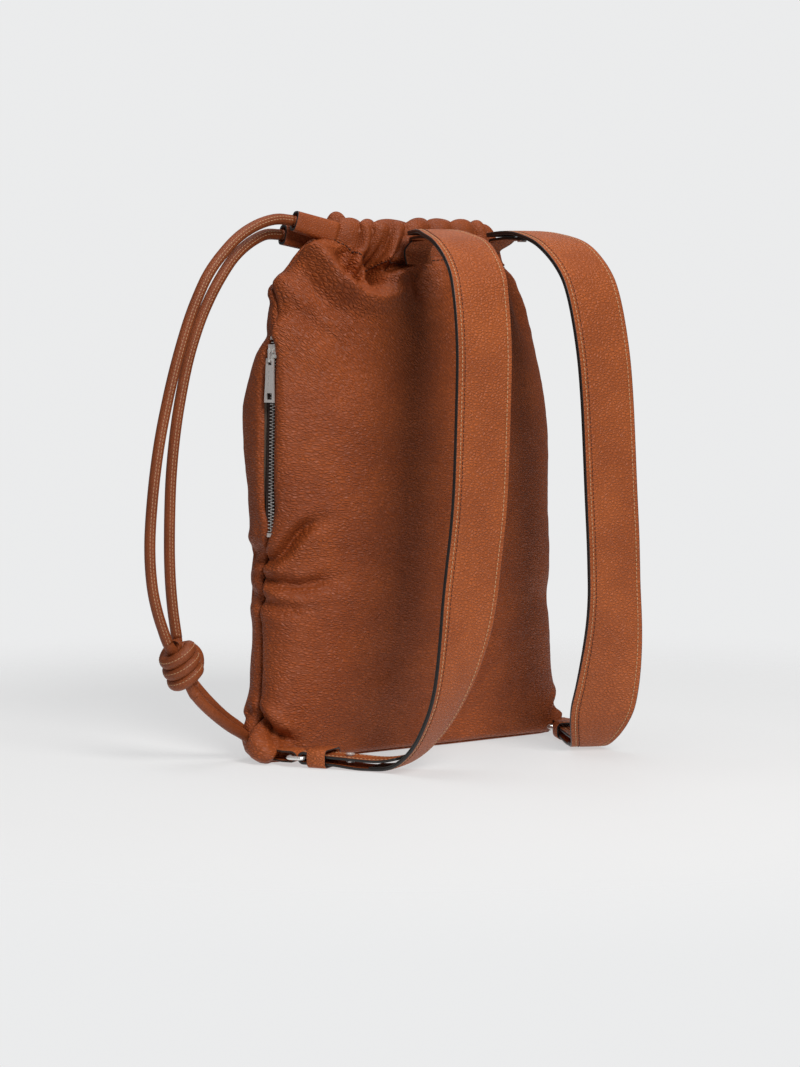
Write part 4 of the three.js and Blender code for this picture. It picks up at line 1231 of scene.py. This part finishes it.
# A tooth's outline, from its root across the zip and up it, and its layers' depth and size.
TOOTH_SIDE = [(-0.55, 0.3), (0.4, 0.42), (1.5, 0.3), (2.1, 0.45), (2.6, 0.45)]
TOOTH_OUTLINE = TOOTH_SIDE + [(x, -y) for x, y in reversed(TOOTH_SIDE)]
TOOTH_LAYERS = ((-1.1, 0.85), (-0.8, 1.0), (0.8, 1.0), (1.15, 0.8))


def tooth_mesh(side, place, offset):
    rings = []
    for depth, size in TOOTH_LAYERS:
        middle = ZIP_MIDDLE + ZIP_UP * place + ZIP_OUT * depth
        rings += [middle + ZIP_UP * (y * size) + ZIP_ACROSS * side * (TOOTH_ROOT + (x - TOOTH_ROOT) * size)
                  for x, y in TOOTH_OUTLINE]
    return np.array(rings), closed_faces(len(TOOTH_LAYERS), len(TOOTH_OUTLINE), offset)


def add_teeth(name, node, side, lead):
    """A row of small cast teeth that reach across the middle between those of the other row."""
    places = np.arange(-ZIP_HALF + lead, ZIP_HALF - 0.6, TOOTH_PITCH)
    verts, faces = gather_meshes([
        lambda offset, place=place: tooth_mesh(side, place, offset) for place in places
    ])
    teeth = new_piece(name, verts, faces, [nickel], "bag", smooth=False)
    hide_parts(node)


add_teeth("teeth_back", "zip_teeth_back", 1, 0.6)
add_teeth("teeth_front", "zip_teeth_front", -1, 0.6 + TOOTH_PITCH / 2)

# ------------------------------------------------------------------ finishes on the CAD's own parts

CLOTH_NODES = ["zip_tape_back", "zip_tape_front"]
METAL_NODES = [
    "zip_top_stop_back", "zip_top_stop_front", "zip_bottom_stop", "zip_slider", "zip_pull_link",
    "zip_pull_tab", "left_anchor_rivet", "left_ring", "left_stud", "right_anchor_rivet",
    "right_ring", "right_stud",
]


def dress(node, material):
    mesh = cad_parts[node].data
    mesh.materials.clear()
    mesh.materials.append(material)


for cad_node in CLOTH_NODES:
    dress(cad_node, zip_cloth)
for cad_node in METAL_NODES:
    dress(cad_node, nickel)

# ------------------------------------------------------------------ stage


def add_floor():
    half_size, count = 1.0, 24
    steps = np.linspace(-half_size, half_size, count + 1)
    mesh = bpy.data.meshes.new("floor")
    mesh.from_pydata([(x, y, 0.0) for y in steps for x in steps], [], grid_faces(count + 1, count + 1))
    mesh.materials.append(floor_finish())
    floor = bpy.data.objects.new("floor", mesh)
    bpy.context.scene.collection.objects.link(floor)


add_floor()
add_lights()
add_world()
bpy.context.scene.view_settings.view_transform = "Standard"
